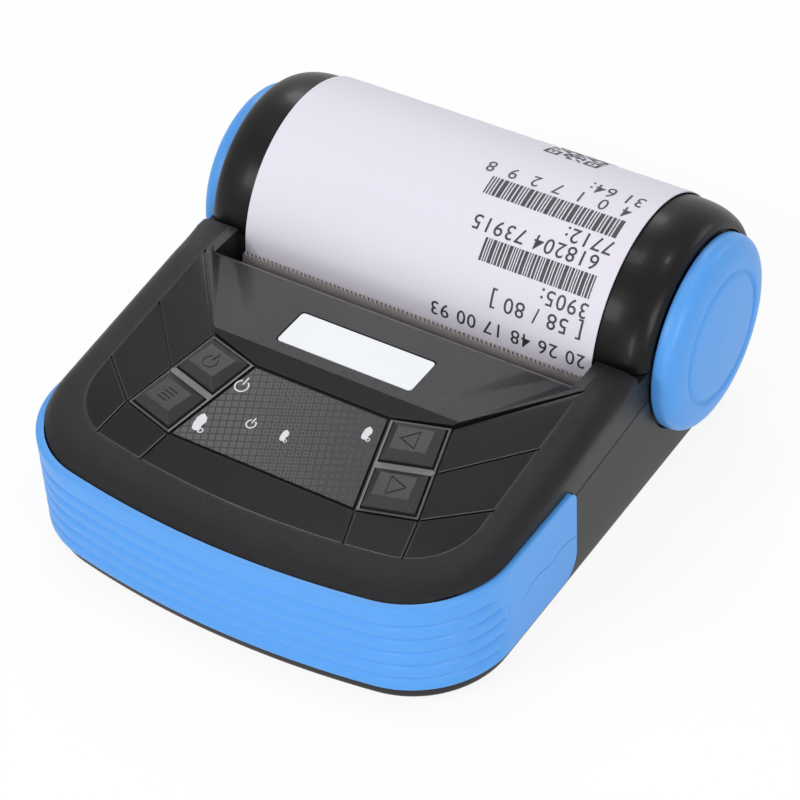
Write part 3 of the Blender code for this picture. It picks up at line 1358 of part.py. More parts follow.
clear_scene()
MATERIALS = {
    "deck black": material("deck black", (0.025, 0.025, 0.028), 0.55),
    "shell black": material("shell black", (0.03, 0.03, 0.033), 0.5),
    "gloss black": material("gloss black", (0.012, 0.012, 0.013), 0.12),
    "key black": material("key black", (0.04, 0.038, 0.04), 0.5),
    "label film": material("label film", (0.05, 0.05, 0.055), 0.4),
    "white plastic": material("white plastic", (0.85, 0.86, 0.88), 0.35),
    "blue plastic": material("blue plastic", (0.1, 0.4, 0.95), 0.4),
    "rubber": material("rubber", (0.02, 0.02, 0.02), 0.85),
    "steel": material("steel", (0.5, 0.48, 0.46), 0.35, 1.0),
    "zinc steel": material("zinc steel", (0.55, 0.57, 0.6), 0.45, 1.0),
    "aluminium": material("aluminium", (0.7, 0.71, 0.72), 0.4, 1.0),
    "brass": material("brass", (0.6, 0.45, 0.2), 0.35, 1.0),
    "ceramic": material("ceramic", (0.7, 0.68, 0.62), 0.3),
    "nylon": material("nylon", (0.75, 0.74, 0.7), 0.5),
    "paper": material("paper", (0.74, 0.71, 0.82), 0.75),
    "card": material("card", (0.35, 0.27, 0.2), 0.8),
    "board green": material("board green", (0.02, 0.16, 0.07), 0.4),
    "battery wrap": material("battery wrap", (0.03, 0.08, 0.3), 0.35),
}
make_lower_shell()
make_upper_shell()
make_front_bumper()
make_key_label()
make_name_plate()
make_keys()
make_key_board()
make_tear_bar()
make_feet()
make_screws()
make_mechanism_frame()
make_print_head()
make_motor()
make_gears()
make_springs()
make_paper_bin()
make_paper_roll()
make_paper_web()
make_platen()
make_cover()
make_cover_liner()
make_receipt_strip()
make_hinge_pin()
make_discs()
make_electronics()
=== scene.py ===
"""The look of a portable receipt printer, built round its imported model. Sizes here are in millimetres."""

import math

import bmesh
import bpy
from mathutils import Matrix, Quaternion, Vector


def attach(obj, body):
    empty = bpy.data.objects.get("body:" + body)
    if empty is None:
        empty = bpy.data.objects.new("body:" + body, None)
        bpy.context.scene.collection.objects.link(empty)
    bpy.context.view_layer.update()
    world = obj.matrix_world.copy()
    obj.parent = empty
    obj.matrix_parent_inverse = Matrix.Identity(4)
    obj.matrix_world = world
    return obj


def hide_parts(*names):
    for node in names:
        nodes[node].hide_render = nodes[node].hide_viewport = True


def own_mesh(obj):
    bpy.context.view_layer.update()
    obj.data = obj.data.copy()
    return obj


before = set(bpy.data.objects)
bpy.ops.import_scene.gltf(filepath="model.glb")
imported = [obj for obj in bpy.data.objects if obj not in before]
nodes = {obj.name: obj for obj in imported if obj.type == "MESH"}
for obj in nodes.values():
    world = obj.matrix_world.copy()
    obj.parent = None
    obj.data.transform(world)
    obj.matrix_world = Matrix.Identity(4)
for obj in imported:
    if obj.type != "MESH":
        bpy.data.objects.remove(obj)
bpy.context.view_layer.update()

# ---------------------------------------------------------------------------------------------------------
# Lower case. A moulded tray in black ABS that holds the works and the roll, closed by the upper case at the
# seam. It is one shell with the drum bay, the hinge lugs, four screw bosses, the foot pockets and the opening
# for the charging socket.
MM = 0.001
GAP = 0.3  # clearance where parts fit or move
FAR = 5.0  # how far a cutting tool reaches past the body
WALL = 2.4
HALF_WIDTH = 50.0
SIDE_INNER = 46.0
FRONT_Y = -59.4
REAR_Y = 60.2
FRONT_CORNER = 20.0
FRONT_SWEEP = 190.0
REAR_CORNER = 6.0
FOOT_Z = 0.6
FLOOR_Z = 3.0
SEAM_Z = 22.85
SEAM_SLOPE = 0.0735
SEAM_GAP = 0.15
DRUM = (36.0, 26.6)  # the drum's axis along X as (y, z), as for the hinge, the platen and the roll
BAY_RADIUS = 21.9
HINGE = (57.6, 29.0)
BARREL_RADIUS = 2.3
PIN_RADIUS = 1.0
LUG_INNER = 34.3
LUG_WIDTH = 7.7
END_EASE = 0.04  # keeps the foot of a lug or barrel inside its flat ends
REAR_WALL_Z = 26.4
REAR_TUCK = 4.2
BAY_TOP_Z = 30.0
OVER_Z = 40.0  # above everything that is cut open upwards
DECK_REAR_Y = 11.4
DISC_RADIUS = 20.0
POCKET_X = 48.2
POCKET_GAP = 0.4
STEM_RADIUS = 3.0
SCREWS = ((-36.0, -50.0, 3.0), (-44.0, -15.2, 2.0), (36.0, -50.0, 3.0), (44.0, -15.2, 2.0))  # x, y, boss radius
BOSS_DROP = 2.3
LUG_FOOT = (-0.46, 2.07)  # its front and rear along Y from the hinge line
SHANK_RADIUS = 1.2
HEAD_RADIUS = 1.9
HEAD_TOP_Z = 2.4
FEET = ((-38.0, -37.4), (38.0, -37.4), (-38.0, 40.2), (38.0, 40.2))
FOOT_POCKET_RADIUS = 4.3
FOOT_POCKET_Z = 1.7
SOCKET_LOW = (-32.3, 6.7)  # the opening's corners in the left wall as (y, z)
SOCKET_HIGH = (-23.7, 10.7)
SHELL_LEVELS = ((0.6, 1.4), (0.72, 1.02), (1.1, 0.68), (1.8, 0.5), (4.1, 0.35), (9.0, 0.24), (13.5, 0.15))
SWEEP_STEPS, CORNER_STEPS, REAR_STEPS = 14, 24, 8
SIDE_STATIONS = (-29.05, -24, -18.5, -12.95, -8, -4, 0, 1.5, 3, 4.5, 6, 7.5, 9.3, 11.4, 16, 22, 28, 34, 40)
SIDE_STATIONS += (46, 50)


def put(name, data):
    made = bpy.data.objects.new(name, data)
    bpy.context.scene.collection.objects.link(made)
    return made


def soften(made, smooth=30.0):
    """Smooth shading, except over edges sharper than the angle."""
    made.data.shade_smooth()
    made.data.set_sharp_from_angle(angle=math.radians(smooth))
    return made


def piece(name, points, faces, smooth=30.0):
    """A mesh from points in millimetres, with its faces turned outwards."""
    mesh = bpy.data.meshes.new(name)
    mesh.from_pydata([(x * MM, y * MM, z * MM) for x, y, z in points], [], faces)
    work = bmesh.new()
    work.from_mesh(mesh)
    bmesh.ops.remove_doubles(work, verts=work.verts, dist=0.001 * MM)
    bmesh.ops.recalc_face_normals(work, faces=work.faces)
    work.to_mesh(mesh)
    work.free()
    return soften(put(name, mesh), smooth)


def loft(name, rings, smooth=30.0, closed=False, strips=False):
    """A skin through rings of equal length: capped at both ends, by strips if bent, or closed on itself."""
    count = len(rings[0])
    points = [point for ring in rings for point in ring]
    faces = []
    for level in range(len(rings) if closed else len(rings) - 1):
        low, high = level * count, (level + 1) % len(rings) * count
        for step in range(count):
            after = (step + 1) % count
            faces.append((low + step, low + after, high + after, high + step))
    last = (len(rings) - 1) * count
    if strips:
        for start in (0, last):
            end = start + count - 1
            faces += [(start + i, start + i + 1, end - 1 - i, end - i) for i in range(count // 2 - 1)]
    elif not closed:
        faces += [tuple(reversed(range(count))), tuple(range(last, last + count))]
    return piece(name, points, faces, smooth)


def upright(name, plan, low, high):
    """A plan outline drawn up along Z."""
    return loft(name, [[(x, y, z) for x, y in plan] for z in (low, high)])


def across(name, outline, low, high):
    """An outline of (y, z) points drawn out along X."""
    return loft(name, [[(x, y, z) for y, z in outline] for x in (low, high)])


def block(name, low, high):
    plan = ((low[0], low[1]), (high[0], low[1]), (high[0], high[1]), (low[0], high[1]))
    return upright(name, plan, low[2], high[2])


def circle(middle, radius, count=96):
    steps = [2 * math.pi * step / count for step in range(count)]
    return [(middle[0] + radius * math.cos(a), middle[1] + radius * math.sin(a)) for a in steps]


def rod_x(name, middle, radius, low, high, count=96):
    low, high = sorted((low, high))
    return across(name, circle(middle, radius, count), low, high)


def rod_z(name, middle, radius, low, high, count=48):
    return upright(name, circle(middle, radius, count), low, high)


def change(made, kind, **settings):
    """One modifier, worked into the mesh at once."""
    modifier = made.modifiers.new(kind.lower(), kind)
    for name, value in settings.items():
        setattr(modifier, name, value)
    graph = bpy.context.evaluated_depsgraph_get()
    finished = bpy.data.meshes.new_from_object(made.evaluated_get(graph))
    made.modifiers.clear()
    made.data = finished
    return made


def combine(body, tools, operation):
    """Cuts the tools out of a body or joins them to it, and uses them up."""
    for tool in tools:
        change(body, "BOOLEAN", operation=operation, solver="EXACT", object=tool)
        bpy.data.objects.remove(tool)
    return body


def cut(body, *tools):
    return combine(body, tools, "DIFFERENCE")


def join(body, *tools):
    return combine(body, tools, "UNION")


def ease(made, width, limit=25.0, segments=2):
    """Rounds the edges as a mould does, and keeps the flats flat."""
    limits = {"limit_method": "ANGLE", "angle_limit": math.radians(limit), "use_clamp_overlap": True}
    return change(made, "BEVEL", width=width * MM, segments=segments, miter_outer="MITER_ARC", **limits)


def flatten(made, smooth=40.0):
    soften(made, smooth)
    return change(made, "WEIGHTED_NORMAL", mode="FACE_AREA", weight=80, keep_sharp=True)


def seam_height(y):
    return SEAM_Z + SEAM_SLOPE * y


def plan_outline(half, front, rear, corner=FRONT_CORNER):
    """The plan of the body: a swept front, round front corners and straight sides."""
    over = half - corner
    inner = FRONT_SWEEP - corner
    corner_y = front + FRONT_SWEEP - math.sqrt(inner**2 - over**2)
    lean = math.asin(over / inner)
    right = []
    for step in range(SWEEP_STEPS):
        angle = lean * step / SWEEP_STEPS
        right.append((FRONT_SWEEP * math.sin(angle), front + FRONT_SWEEP * (1 - math.cos(angle))))
    for step in range(CORNER_STEPS + 1):
        angle = lean + (math.pi / 2 - lean) * step / CORNER_STEPS
        right.append((over + corner * math.sin(angle), corner_y - corner * math.cos(angle)))
    side_end = rear - REAR_CORNER
    right += [(half, y) for y in SIDE_STATIONS] + [(half, side_end)]
    for step in range(1, REAR_STEPS + 1):
        angle = math.pi / 2 * step / REAR_STEPS
        right.append((half - REAR_CORNER * (1 - math.cos(angle)), side_end + REAR_CORNER * math.sin(angle)))
    return right + [(-x, y) for x, y in reversed(right[1:])]


BUMPER_LOW = 4.1
BUMPER_HIGH = 24.8
BUMPER_END_Y = -13.1
TIP_TOP_ROUND = 2.6
TIP_FOOT_ROUND = 5.2
TIP_FOOT_SHARE = 0.97  # how much of the foot's quarter circle is used
RECESS_DEPTH = 1.1
RECESS_LEVELS = (4.5, 5.2, 6.2, 7.6, 9.3, 12.0, 16.0, 20.0, 22.2, 23.2, 24.0, 24.5)


def bumper_end(z):
    """Where the bumper ends along the side at height z: an upright edge with a round top and foot."""
    rise = min(max(z - (BUMPER_HIGH - TIP_TOP_ROUND), 0.0), TIP_TOP_ROUND)
    fall = min(max(BUMPER_LOW + TIP_FOOT_ROUND - z, 0.0), TIP_FOOT_ROUND * TIP_FOOT_SHARE)
    top = TIP_TOP_ROUND - math.sqrt(TIP_TOP_ROUND**2 - rise**2)
    return BUMPER_END_Y - top - (TIP_FOOT_ROUND - math.sqrt(TIP_FOOT_ROUND**2 - fall**2))


def bumper_path(offset, end_y, sides, corners, fronts):
    """The bumper's plan line from its right end round the front to its left end."""
    half, front = HALF_WIDTH + offset, FRONT_Y - offset
    corner, sweep = FRONT_CORNER + offset, FRONT_SWEEP + offset
    over = half - corner
    corner_y = front + sweep - math.sqrt((sweep - corner) ** 2 - over**2)
    lean = math.asin(over / (sweep - corner))
    right = [(half, end_y + (corner_y - end_y) * step / sides) for step in range(sides)]
    for step in range(corners + 1):
        angle = math.pi / 2 + (lean - math.pi / 2) * step / corners
        right.append((over + corner * math.sin(angle), corner_y - corner * math.cos(angle)))
    for step in range(1, fronts):
        angle = lean * (1 - step / fronts)
        right.append((sweep * math.sin(angle), front + sweep * (1 - math.cos(angle))))
    return right + [(0.0, front)] + [(-x, y) for x, y in reversed(right)]


def along_path(profile, sides, corners, fronts, end_gap=0.0):
    """A profile of (offset, z) points carried round the front, one ring at each place on the way."""
    paths = [bumper_path(offset, bumper_end(z) + end_gap, sides, corners, fronts) for offset, z in profile]
    return [[(*path[at], z) for path, (_, z) in zip(paths, profile)] for at in range(len(paths[0]))]


def bumper_space():
    """The recess round both cases that the bumper sits in."""
    levels = (BUMPER_LOW - GAP, *RECESS_LEVELS, BUMPER_HIGH + GAP)
    profile = [(FAR, z) for z in levels] + [(-RECESS_DEPTH, z) for z in reversed(levels)]
    return loft("bumper_space", along_path(profile, 4, 24, 14, GAP), strips=True)


def disc_pockets():
    """The round pocket of each side disc and the hole for its stem."""
    tools = []
    for side in (-1, 1):
        outside = side * (HALF_WIDTH + FAR)
        tools.append(rod_x("pocket", DRUM, DISC_RADIUS + POCKET_GAP, side * POCKET_X, outside, 160))
        tools.append(rod_x("stem_hole", DRUM, STEM_RADIUS + GAP, side * (SIDE_INNER - FAR), outside, 40))
    return tools


def rear_tuck(z):
    return REAR_TUCK * min(max((DRUM[1] - z) / (DRUM[1] - FOOT_Z), 0.0), 1.0) ** 4


rings = []
for z, tuck in SHELL_LEVELS:
    plan = plan_outline(HALF_WIDTH - tuck, FRONT_Y + tuck, REAR_Y - rear_tuck(z) - tuck, FRONT_CORNER - tuck)
    rings.append([(x, y, z) for x, y in plan])
plan = plan_outline(HALF_WIDTH, FRONT_Y, REAR_Y)
rings.append([(x, y, seam_height(y) - SEAM_GAP) for x, y in plan])
lower_case = loft("lower_case", rings, 40)


def front_part(ring, limit):
    """The part of a ring round the body that lies in front of a place along Y."""
    return [point for point in ring if point[1] < limit + 0.001]


inner = front_part(plan_outline(HALF_WIDTH - WALL, FRONT_Y + WALL, REAR_Y, FRONT_CORNER - WALL), DECK_REAR_Y)
reach = HALF_WIDTH + FAR
cut(
    lower_case,
    upright("front_bay", inner, FLOOR_Z, BAY_TOP_Z),
    rod_x("drum_bay", DRUM, BAY_RADIUS, -SIDE_INNER, SIDE_INNER, 160),
    block("works_bay", (-SIDE_INNER, 0.0, FLOOR_Z), (SIDE_INNER, DRUM[0] - BAY_RADIUS / 2, BAY_TOP_Z)),
    block("rear_space", (-reach, HINGE[0] - BARREL_RADIUS - GAP, REAR_WALL_Z), (reach, REAR_Y + FAR, OVER_Z)),
    bumper_space(),
    *disc_pockets(),
)
for side in (-1, 1):
    low, high = sorted((side * LUG_INNER, side * (LUG_INNER + LUG_WIDTH)))
    foot_low = (low + END_EASE, HINGE[0] + LUG_FOOT[0], REAR_WALL_Z - 1)
    foot = block("lug_foot", foot_low, (high - END_EASE, HINGE[0] + LUG_FOOT[1], HINGE[1]))
    join(lower_case, foot, rod_x("lug", HINGE, BARREL_RADIUS, low, high, 64))
cut(lower_case, rod_x("pin_bore", HINGE, PIN_RADIUS + GAP, -reach, reach, 40))
for x, y, radius in SCREWS:
    top = seam_height(y) - BOSS_DROP
    join(lower_case, rod_z("boss", (x, y), radius, FLOOR_Z - 1, top, 32))
    shank = rod_z("shank", (x, y), SHANK_RADIUS, -1, top + FAR, 24)
    cut(lower_case, shank, rod_z("head", (x, y), HEAD_RADIUS, -1, HEAD_TOP_Z, 32))
cut(lower_case, *[rod_z("foot_pocket", place, FOOT_POCKET_RADIUS, -1, FOOT_POCKET_Z) for place in FEET])
cut(lower_case, block("socket_opening", (-reach, *SOCKET_LOW), (-HALF_WIDTH + 2 * WALL, *SOCKET_HIGH)))
flatten(lower_case)


class Value:
    """A socket in a material's nodes. Arithmetic on it adds the nodes that work the answer out."""

    def __init__(self, finish, socket):
        self.finish, self.socket = finish, socket

    def maths(self, operation, *values):
        kind = "ShaderNodeVectorMath" if self.socket.type == "VECTOR" else "ShaderNodeMath"
        return self.finish.add(kind, {"operation": operation}, dict(enumerate(values)))[0]

    def __add__(self, other):
        return self.maths("ADD", self, other)

    def __radd__(self, other):
        return self.maths("ADD", other, self)

    def __sub__(self, other):
        return self.maths("SUBTRACT", self, other)

    def __rsub__(self, other):
        return self.maths("SUBTRACT", other, self)

    def __mul__(self, other):
        return self.maths("MULTIPLY", self, other)

    def __rmul__(self, other):
        return self.maths("MULTIPLY", other, self)

    def __truediv__(self, other):
        return self.maths("DIVIDE", self, other)

    def __rtruediv__(self, other):
        return self.maths("DIVIDE", other, self)

    def __gt__(self, other):
        return self.maths("GREATER_THAN", self, other)

    def __lt__(self, other):
        return self.maths("LESS_THAN", self, other)

    def __abs__(self):
        return self.maths("ABSOLUTE", self)

    def larger(self, other):
        return self.maths("MAXIMUM", self, other)

    def root(self):
        return self.maths("SQRT", self)

    def fraction(self):
        return self.maths("FRACT", self)


class Finish:
    """One material round a Principled shader: constants on its sockets, and nodes for what varies."""

    def __init__(self, name, **constants):
        self.material = bpy.data.materials.new(name)
        self.material.use_nodes = True
        self.tree = self.material.node_tree
        self.shader = self.tree.nodes["Principled BSDF"]
        for socket, value in constants.items():
            self.shader.inputs[socket.replace("_", " ")].default_value = value
        self.place = self.add("ShaderNodeTexCoord", {}, {})["Object"]

    def add(self, kind, settings, values):
        """One node: its settings first, then the values or links of its sockets. Gives back its outputs."""
        node = self.tree.nodes.new(kind)
        for name, value in settings.items():
            setattr(node, name, value)
        for key, value in values.items():
            if isinstance(key, int):
                socket = node.inputs[key]
            else:
                socket = next(found for found in node.inputs if found.name == key and found.enabled)
            self.set(socket, value)
        return Outputs(self, node)

    def set(self, socket, value):
        if isinstance(value, Value):
            self.tree.links.new(value.socket, socket)
        elif socket.type == "RGBA":
            socket.default_value = (*value, 1.0)
        elif socket.type == "VECTOR" and not isinstance(value, tuple):
            socket.default_value = (value, value, value)
        else:
            socket.default_value = value

    def feed(self, **values):
        for socket, value in values.items():
            self.set(self.shader.inputs[socket.replace("_", " ")], value)
        return self

    def noise(self, scale, detail=3.0, stretch=(1.0, 1.0, 1.0)):
        """Smooth noise from 0 to 1, scale in cells a millimetre."""
        placed = self.place * tuple(scale * share / MM for share in stretch)
        return self.add("ShaderNodeTexNoise", {}, {"Vector": placed, "Scale": 1.0, "Detail": detail})["Fac"]

    def mix(self, share, first, second):
        values = {"Factor": share, "A": first, "B": second}
        return self.add("ShaderNodeMix", {"data_type": "RGBA"}, values)["Result"]

    def along(self, scale=1.0):
        """The places along X, Y and Z, here multiplied by the scale."""
        placed = self.place if scale == 1.0 else self.place * scale
        return self.add("ShaderNodeSeparateXYZ", {}, {0: placed})

    def relief(self, height, depth):
        """Bump from a height of 0 to 1 over this depth in millimetres."""
        return self.add("ShaderNodeBump", {}, {"Height": height, "Distance": depth * MM})["Normal"]


class Outputs:
    def __init__(self, finish, node):
        self.finish, self.node = finish, node

    def __getitem__(self, key):
        if isinstance(key, int):
            return Value(self.finish, self.node.outputs[key])
        found = next(output for output in self.node.outputs if output.name == key and output.enabled)
        return Value(self.finish, found)


def shaded(colour, share):
    """A colour made darker or lighter by a share of itself."""
    return tuple(min(channel * share, 1.0) for channel in colour)


def moulded(name, colour, roughness, grain=3.0, depth=0.02, spread=0.1, **constants):
    """Moulded plastic: an even colour with a faint drift, and the fine grain of the mould."""
    finish = Finish(name, **constants)
    drift, fine = finish.noise(0.05), finish.noise(grain, 2.0)
    return finish.feed(
        Base_Color=finish.mix(drift * 0.6 + fine * 0.4, shaded(colour, 1 - spread), shaded(colour, 1 + spread)),
        Roughness=roughness + (fine - 0.5) * 0.16 + (drift - 0.5) * 0.06,
        Normal=finish.relief(fine, depth),
    )


def fit(made, finish, body, slot, *replaced):
    """Gives a piece its material and its body, and hides the nodes that it stands for. The slot is not used."""
    if isinstance(made.data, bpy.types.Mesh):
        made.data.materials.clear()
        made.data.materials.append(finish.material)
    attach(made, body)
    if replaced:
        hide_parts(*replaced)


shell_colour = (0.011, 0.0105, 0.0115)
shell_black = moulded("shell black", shell_colour, 0.42, grain=4.0, depth=0.015, Specular_IOR_Level=0.25)
fit(lower_case, shell_black, "body", "shell_black", "lower_shell")

# ---------------------------------------------------------------------------------------------------------
# Feet and case screws. Four rubber pads glued in their pockets, and four slotted screws that come up through
# the bosses of the lower case into the upper one.


def dress(finish, *names):
    """Gives CAD nodes whose shape is right their material."""
    for name in names:
        for slot in nodes[name].material_slots:
            slot.material = finish.material


rubber = moulded("foot rubber", (0.018, 0.018, 0.018), 0.8, grain=6.0, depth=0.03, Specular_IOR_Level=0.3)
FOOT_RINGS = ((4.0, 1.4), (4.0, 0.35), (3.9, 0.12), (3.7, 0.02), (3.6, 0.0), (2.2, 0.0), (2.0, 0.15))
for word, place in zip(("front_left", "front_right", "rear_left", "rear_right"), FEET):
    rings = [[(x, y, z) for x, y in circle(place, radius, 64)] for radius, z in FOOT_RINGS]
    fit(loft(f"rubber_foot_{word}", rings), rubber, "body", "foot_rubber", f"foot_{word}")


def worked(name, colour, roughness, stretch=(1.0, 1.0, 1.0), grain=2.0, depth=0.01, **constants):
    """Worked metal: fine marks drawn out along the way it was rolled, ground or turned."""
    finish = Finish(name, **{"Metallic": 1.0, **constants})
    marks, drift = finish.noise(grain, 3.0, stretch), finish.noise(0.12)
    return finish.feed(
        Base_Color=finish.mix(marks * 0.7 + drift * 0.3, shaded(colour, 0.82), colour),
        Roughness=roughness + (marks - 0.5) * 0.25,
        Normal=finish.relief(marks, depth),
    )


screw_steel = worked("screw steel", (0.62, 0.6, 0.58), 0.32, (1.0, 1.0, 0.2), grain=4.0)
dress(screw_steel, *[f"case_screw_{place}" for place in ("front_left", "front_right", "mid_left", "mid_right")])

# ---------------------------------------------------------------------------------------------------------
# Battery, main board and charging socket. The pack lies on the floor in a printed sleeve. The board beside it
# carries the drawn-steel socket, which faces its opening in the left wall, behind the tip of the bumper.
battery_wrap = moulded("battery wrap", (0.03, 0.07, 0.26), 0.32, grain=0.8, depth=0.05, spread=0.2)
dress(battery_wrap, "battery_pack")


def circuit(name):
    """Solder mask over copper tracks, which show as paler lines on a square pattern."""
    finish = Finish(name, Coat_Weight=0.3)
    tracks = finish.noise(0.5, 0.0, (1.0, 0.15, 1.0)).larger(finish.noise(0.45, 0.0, (0.15, 1.0, 1.0)))
    lines = (tracks > 0.57) * (tracks < 0.63)
    shade = finish.mix(lines, (0.012, 0.11, 0.045), (0.03, 0.22, 0.09))
    return finish.feed(Base_Color=shade, Roughness=0.34 + lines * 0.1, Normal=finish.relief(lines, 0.03))


board_green = circuit("board green")
dress(board_green, "main_board", "key_board")
socket_steel = worked("socket steel", (0.66, 0.66, 0.66), 0.25, (0.1, 1.0, 1.0), grain=3.0)
dress(socket_steel, "charging_socket")

# ---------------------------------------------------------------------------------------------------------
# Print mechanism. A folded, zinc-plated frame holds the ceramic head on its ribbed heat sink, two springs
# that press it to the platen, the stepper motor and the nylon gears on the left cheek.
zinc_steel = worked("zinc steel", (0.6, 0.61, 0.63), 0.42, (1.0, 0.2, 1.0), grain=0.6, depth=0.02)
dress(zinc_steel, "mechanism_frame")
aluminium = worked("heat sink aluminium", (0.72, 0.73, 0.74), 0.38, (0.05, 1.0, 1.0), grain=3.0)
dress(aluminium, "head_heat_sink")
ceramic = moulded("head ceramic", (0.62, 0.6, 0.54), 0.22, grain=1.5, depth=0.01, spread=0.06, Coat_Weight=0.4)
dress(ceramic, "print_head")
motor_steel = worked("motor steel", (0.55, 0.54, 0.53), 0.36, (0.1, 1.0, 1.0), grain=2.0)
dress(motor_steel, "stepper_motor")
shaft_steel = worked("shaft steel", (0.64, 0.63, 0.62), 0.2, (0.05, 1.0, 1.0), grain=6.0)
dress(shaft_steel, "lower_gear_axle", "middle_gear_axle", "platen_shaft", "hinge_pin")
spring_steel = worked("spring steel", (0.5, 0.5, 0.5), 0.28, grain=5.0)
dress(spring_steel, "head_spring_left", "head_spring_right")
nylon = moulded(
    "gear nylon", (0.72, 0.71, 0.66), 0.42, grain=2.0, depth=0.01, spread=0.05, Subsurface_Weight=0.08
)
dress(nylon, "platen_gear", "lower_gear", "middle_gear", "motor_pinion", "latch_plate_left", "latch_plate_right")
brass = worked("bush brass", (0.62, 0.44, 0.17), 0.26, (0.1, 1.0, 1.0), grain=5.0)
dress(brass, "platen_bush_left", "platen_bush_right")

# ---------------------------------------------------------------------------------------------------------
# Platen. A ground rubber sleeve bonded to a steel shaft, which the gears turn and the paper runs round. It
# lifts out of the works with the cover.
PLATEN = (17.6, 22.8)
PLATEN_HALF = 40.0
PLATEN_RADIUS = 5.25
PLATEN_BORE = 1.9


def turned(name, profile, middle, count=128, smooth=30.0):
    """A solid of revolution about the X line through its middle, from (x, radius) points round a section."""
    rings = []
    for step in range(count):
        angle = 2 * math.pi * step / count
        over, up = math.cos(angle), math.sin(angle)
        rings.append([(x, middle[0] + radius * over, middle[1] + radius * up) for x, radius in profile])
    return loft(name, rings, smooth, closed=True)


def mirrored(half_section):
    """A section from its left half: the same again on the right."""
    return [*half_section, *[(-x, radius) for x, radius in reversed(half_section)]]


section = [(-PLATEN_HALF, PLATEN_BORE), (-PLATEN_HALF, 4.9), (0.2 - PLATEN_HALF, 5.15)]
sleeve = turned("platen_sleeve", mirrored([*section, (0.5 - PLATEN_HALF, PLATEN_RADIUS)]), PLATEN)
rubber_black = (0.026, 0.026, 0.027)
platen_rubber = moulded("platen rubber", rubber_black, 0.62, grain=5.0, depth=0.02, Specular_IOR_Level=0.35)
fit(sleeve, platen_rubber, "platen", "platen_rubber", "platen_rubber")

# ---------------------------------------------------------------------------------------------------------
# Paper. A part-used thermal roll on a card core lies in the moulded bin, and its web runs round under the
# platen. The wound edge shows its turns as fine rings.
PAPER_HALF = 39.75
ROLL = (38.6, 23.1)
ROLL_RADIUS = 15.4
CORE_RADIUS = 7.5
CORE_BORE = 6.0
TURNS = 2.2  # rings drawn on the wound edge for each millimetre, fewer than there are turns
paper_white = (0.665, 0.638, 0.722)


def papered(name, colour, rings=False):
    """Thermal paper: smooth, with a faint fibre grain, and for a roll the edges of its turns."""
    finish = Finish(name, Specular_IOR_Level=0.35, Sheen_Weight=0.05)
    fibre, cloud = finish.noise(1.2, 4.0, (1.0, 0.4, 0.4)), finish.noise(0.03, 2.0)
    shade = finish.mix(fibre * 0.35 + cloud * 0.65, shaded(colour, 0.965), shaded(colour, 1.02))
    height = fibre
    if rings:
        places = finish.along()
        over, up = places["Y"] - ROLL[0] * MM, places["Z"] - ROLL[1] * MM
        turns = ((over * over + up * up).root() * (TURNS / MM)).fraction()
        edge = (turns < 0.35) * (abs(places["X"]) > (PAPER_HALF - 0.15) * MM)
        shade = finish.mix(edge * 0.45, shade, shaded(colour, 0.6))
        height = fibre + edge * 2.0
    roughness = 0.62 + (fibre - 0.5) * 0.12
    return finish.feed(Base_Color=shade, Roughness=roughness, Normal=finish.relief(height, 0.012))


section = [(-PAPER_HALF, 7.8), (-PAPER_HALF, ROLL_RADIUS - 0.15), (0.15 - PAPER_HALF, ROLL_RADIUS)]
roll = turned("wound_roll", mirrored(section), ROLL, 160)
fit(roll, papered("roll paper", paper_white, rings=True), "roll", "roll_paper", "paper_roll")
core_card = moulded("core card", (0.33, 0.25, 0.17), 0.75, grain=1.0, depth=0.05, spread=0.25)
core = turned("card_core", mirrored([(-PAPER_HALF, CORE_BORE), (-PAPER_HALF, CORE_RADIUS)]), ROLL, 96)
fit(core, core_card, "roll", "core_card", "roll_core")
dress(papered("web paper", paper_white), "paper_web")
dress(shell_black, "paper_bin")

# ---------------------------------------------------------------------------------------------------------
# Upper case. Textured black ABS with a rounded rim, a flat brow in front of the paper slot, and a deck of
# facets with a moulded groove between each two, whose eased edges are painted paler as a highlight. It drops
# on the lower case at the seam and is held by the four screws.
RIM_SIDE = 6.7
RIM_FRONT = 9.9
RIM_POWER = 3.2
RIM_CORNER = 0.9  # how much of the rim's width the plan corner loses on the way in
RIM_SHARES = (0.0, 0.012, 0.04, 0.08, 0.13, 0.19, 0.26, 0.34, 0.43, 0.53, 0.64, 0.75, 0.86, 0.96)
EDGE_Z, EDGE_SLOPE = 28.3, 0.15
EDGE_BEND_Y, EDGE_LIFT = 9.3, 1.6
CREASE_Z, CREASE_SLOPE = 33.1, 0.13
PLATE_Z, PLATE_SLOPE = 34.95, 0.153
BROW_Z = 33.2
BROW_FRONT = (13.6, -15.9)
BROW_LOW_Z = 31.95
GROOVE = 0.22
GROOVE_DEPTH = 0.45
GROOVE_STEPS = ((0.0, 0.02), (0.1, 0.07), (0.18, 0.18), (0.22, 0.3), (0.22, GROOVE_DEPTH))
TILE_DEPTH = 1.6
BROW_TILE_DEPTH = 2.4
LABEL_REAR = (15.2, -20.1)
LABEL_FRONT = (20.8, -41.2)
CELL_REAR = (27.0, -17.0)
CELL_FRONT = (32.6, -38.1)
CREASE_PLACES = {
    "front": (23.1, -49.45),
    "corner": (34.8, -47.3),
    "side_front": (43.3, -29.05),
    "side_middle": (43.3, -12.95),
    "side_rear": (43.3, 3.0),
}
SLOT_HALF = 41.0
ARM_TOP_Z = 31.0
UPPER_FLOOR_Z = 17.0
NAME_HALF = 15.2
NAME_Y = -8.4
NAME_DEPTH = 9.3
NAME_FLOOR_Z = 32.0
KEY_BAY = ((-34.6, -42.2), (34.6, -42.2), (34.6, -16.0), (-34.6, -16.0))
KEY_BAY_HEIGHTS = (-11.2, -2.2)
LABEL_DEPTH = 0.7
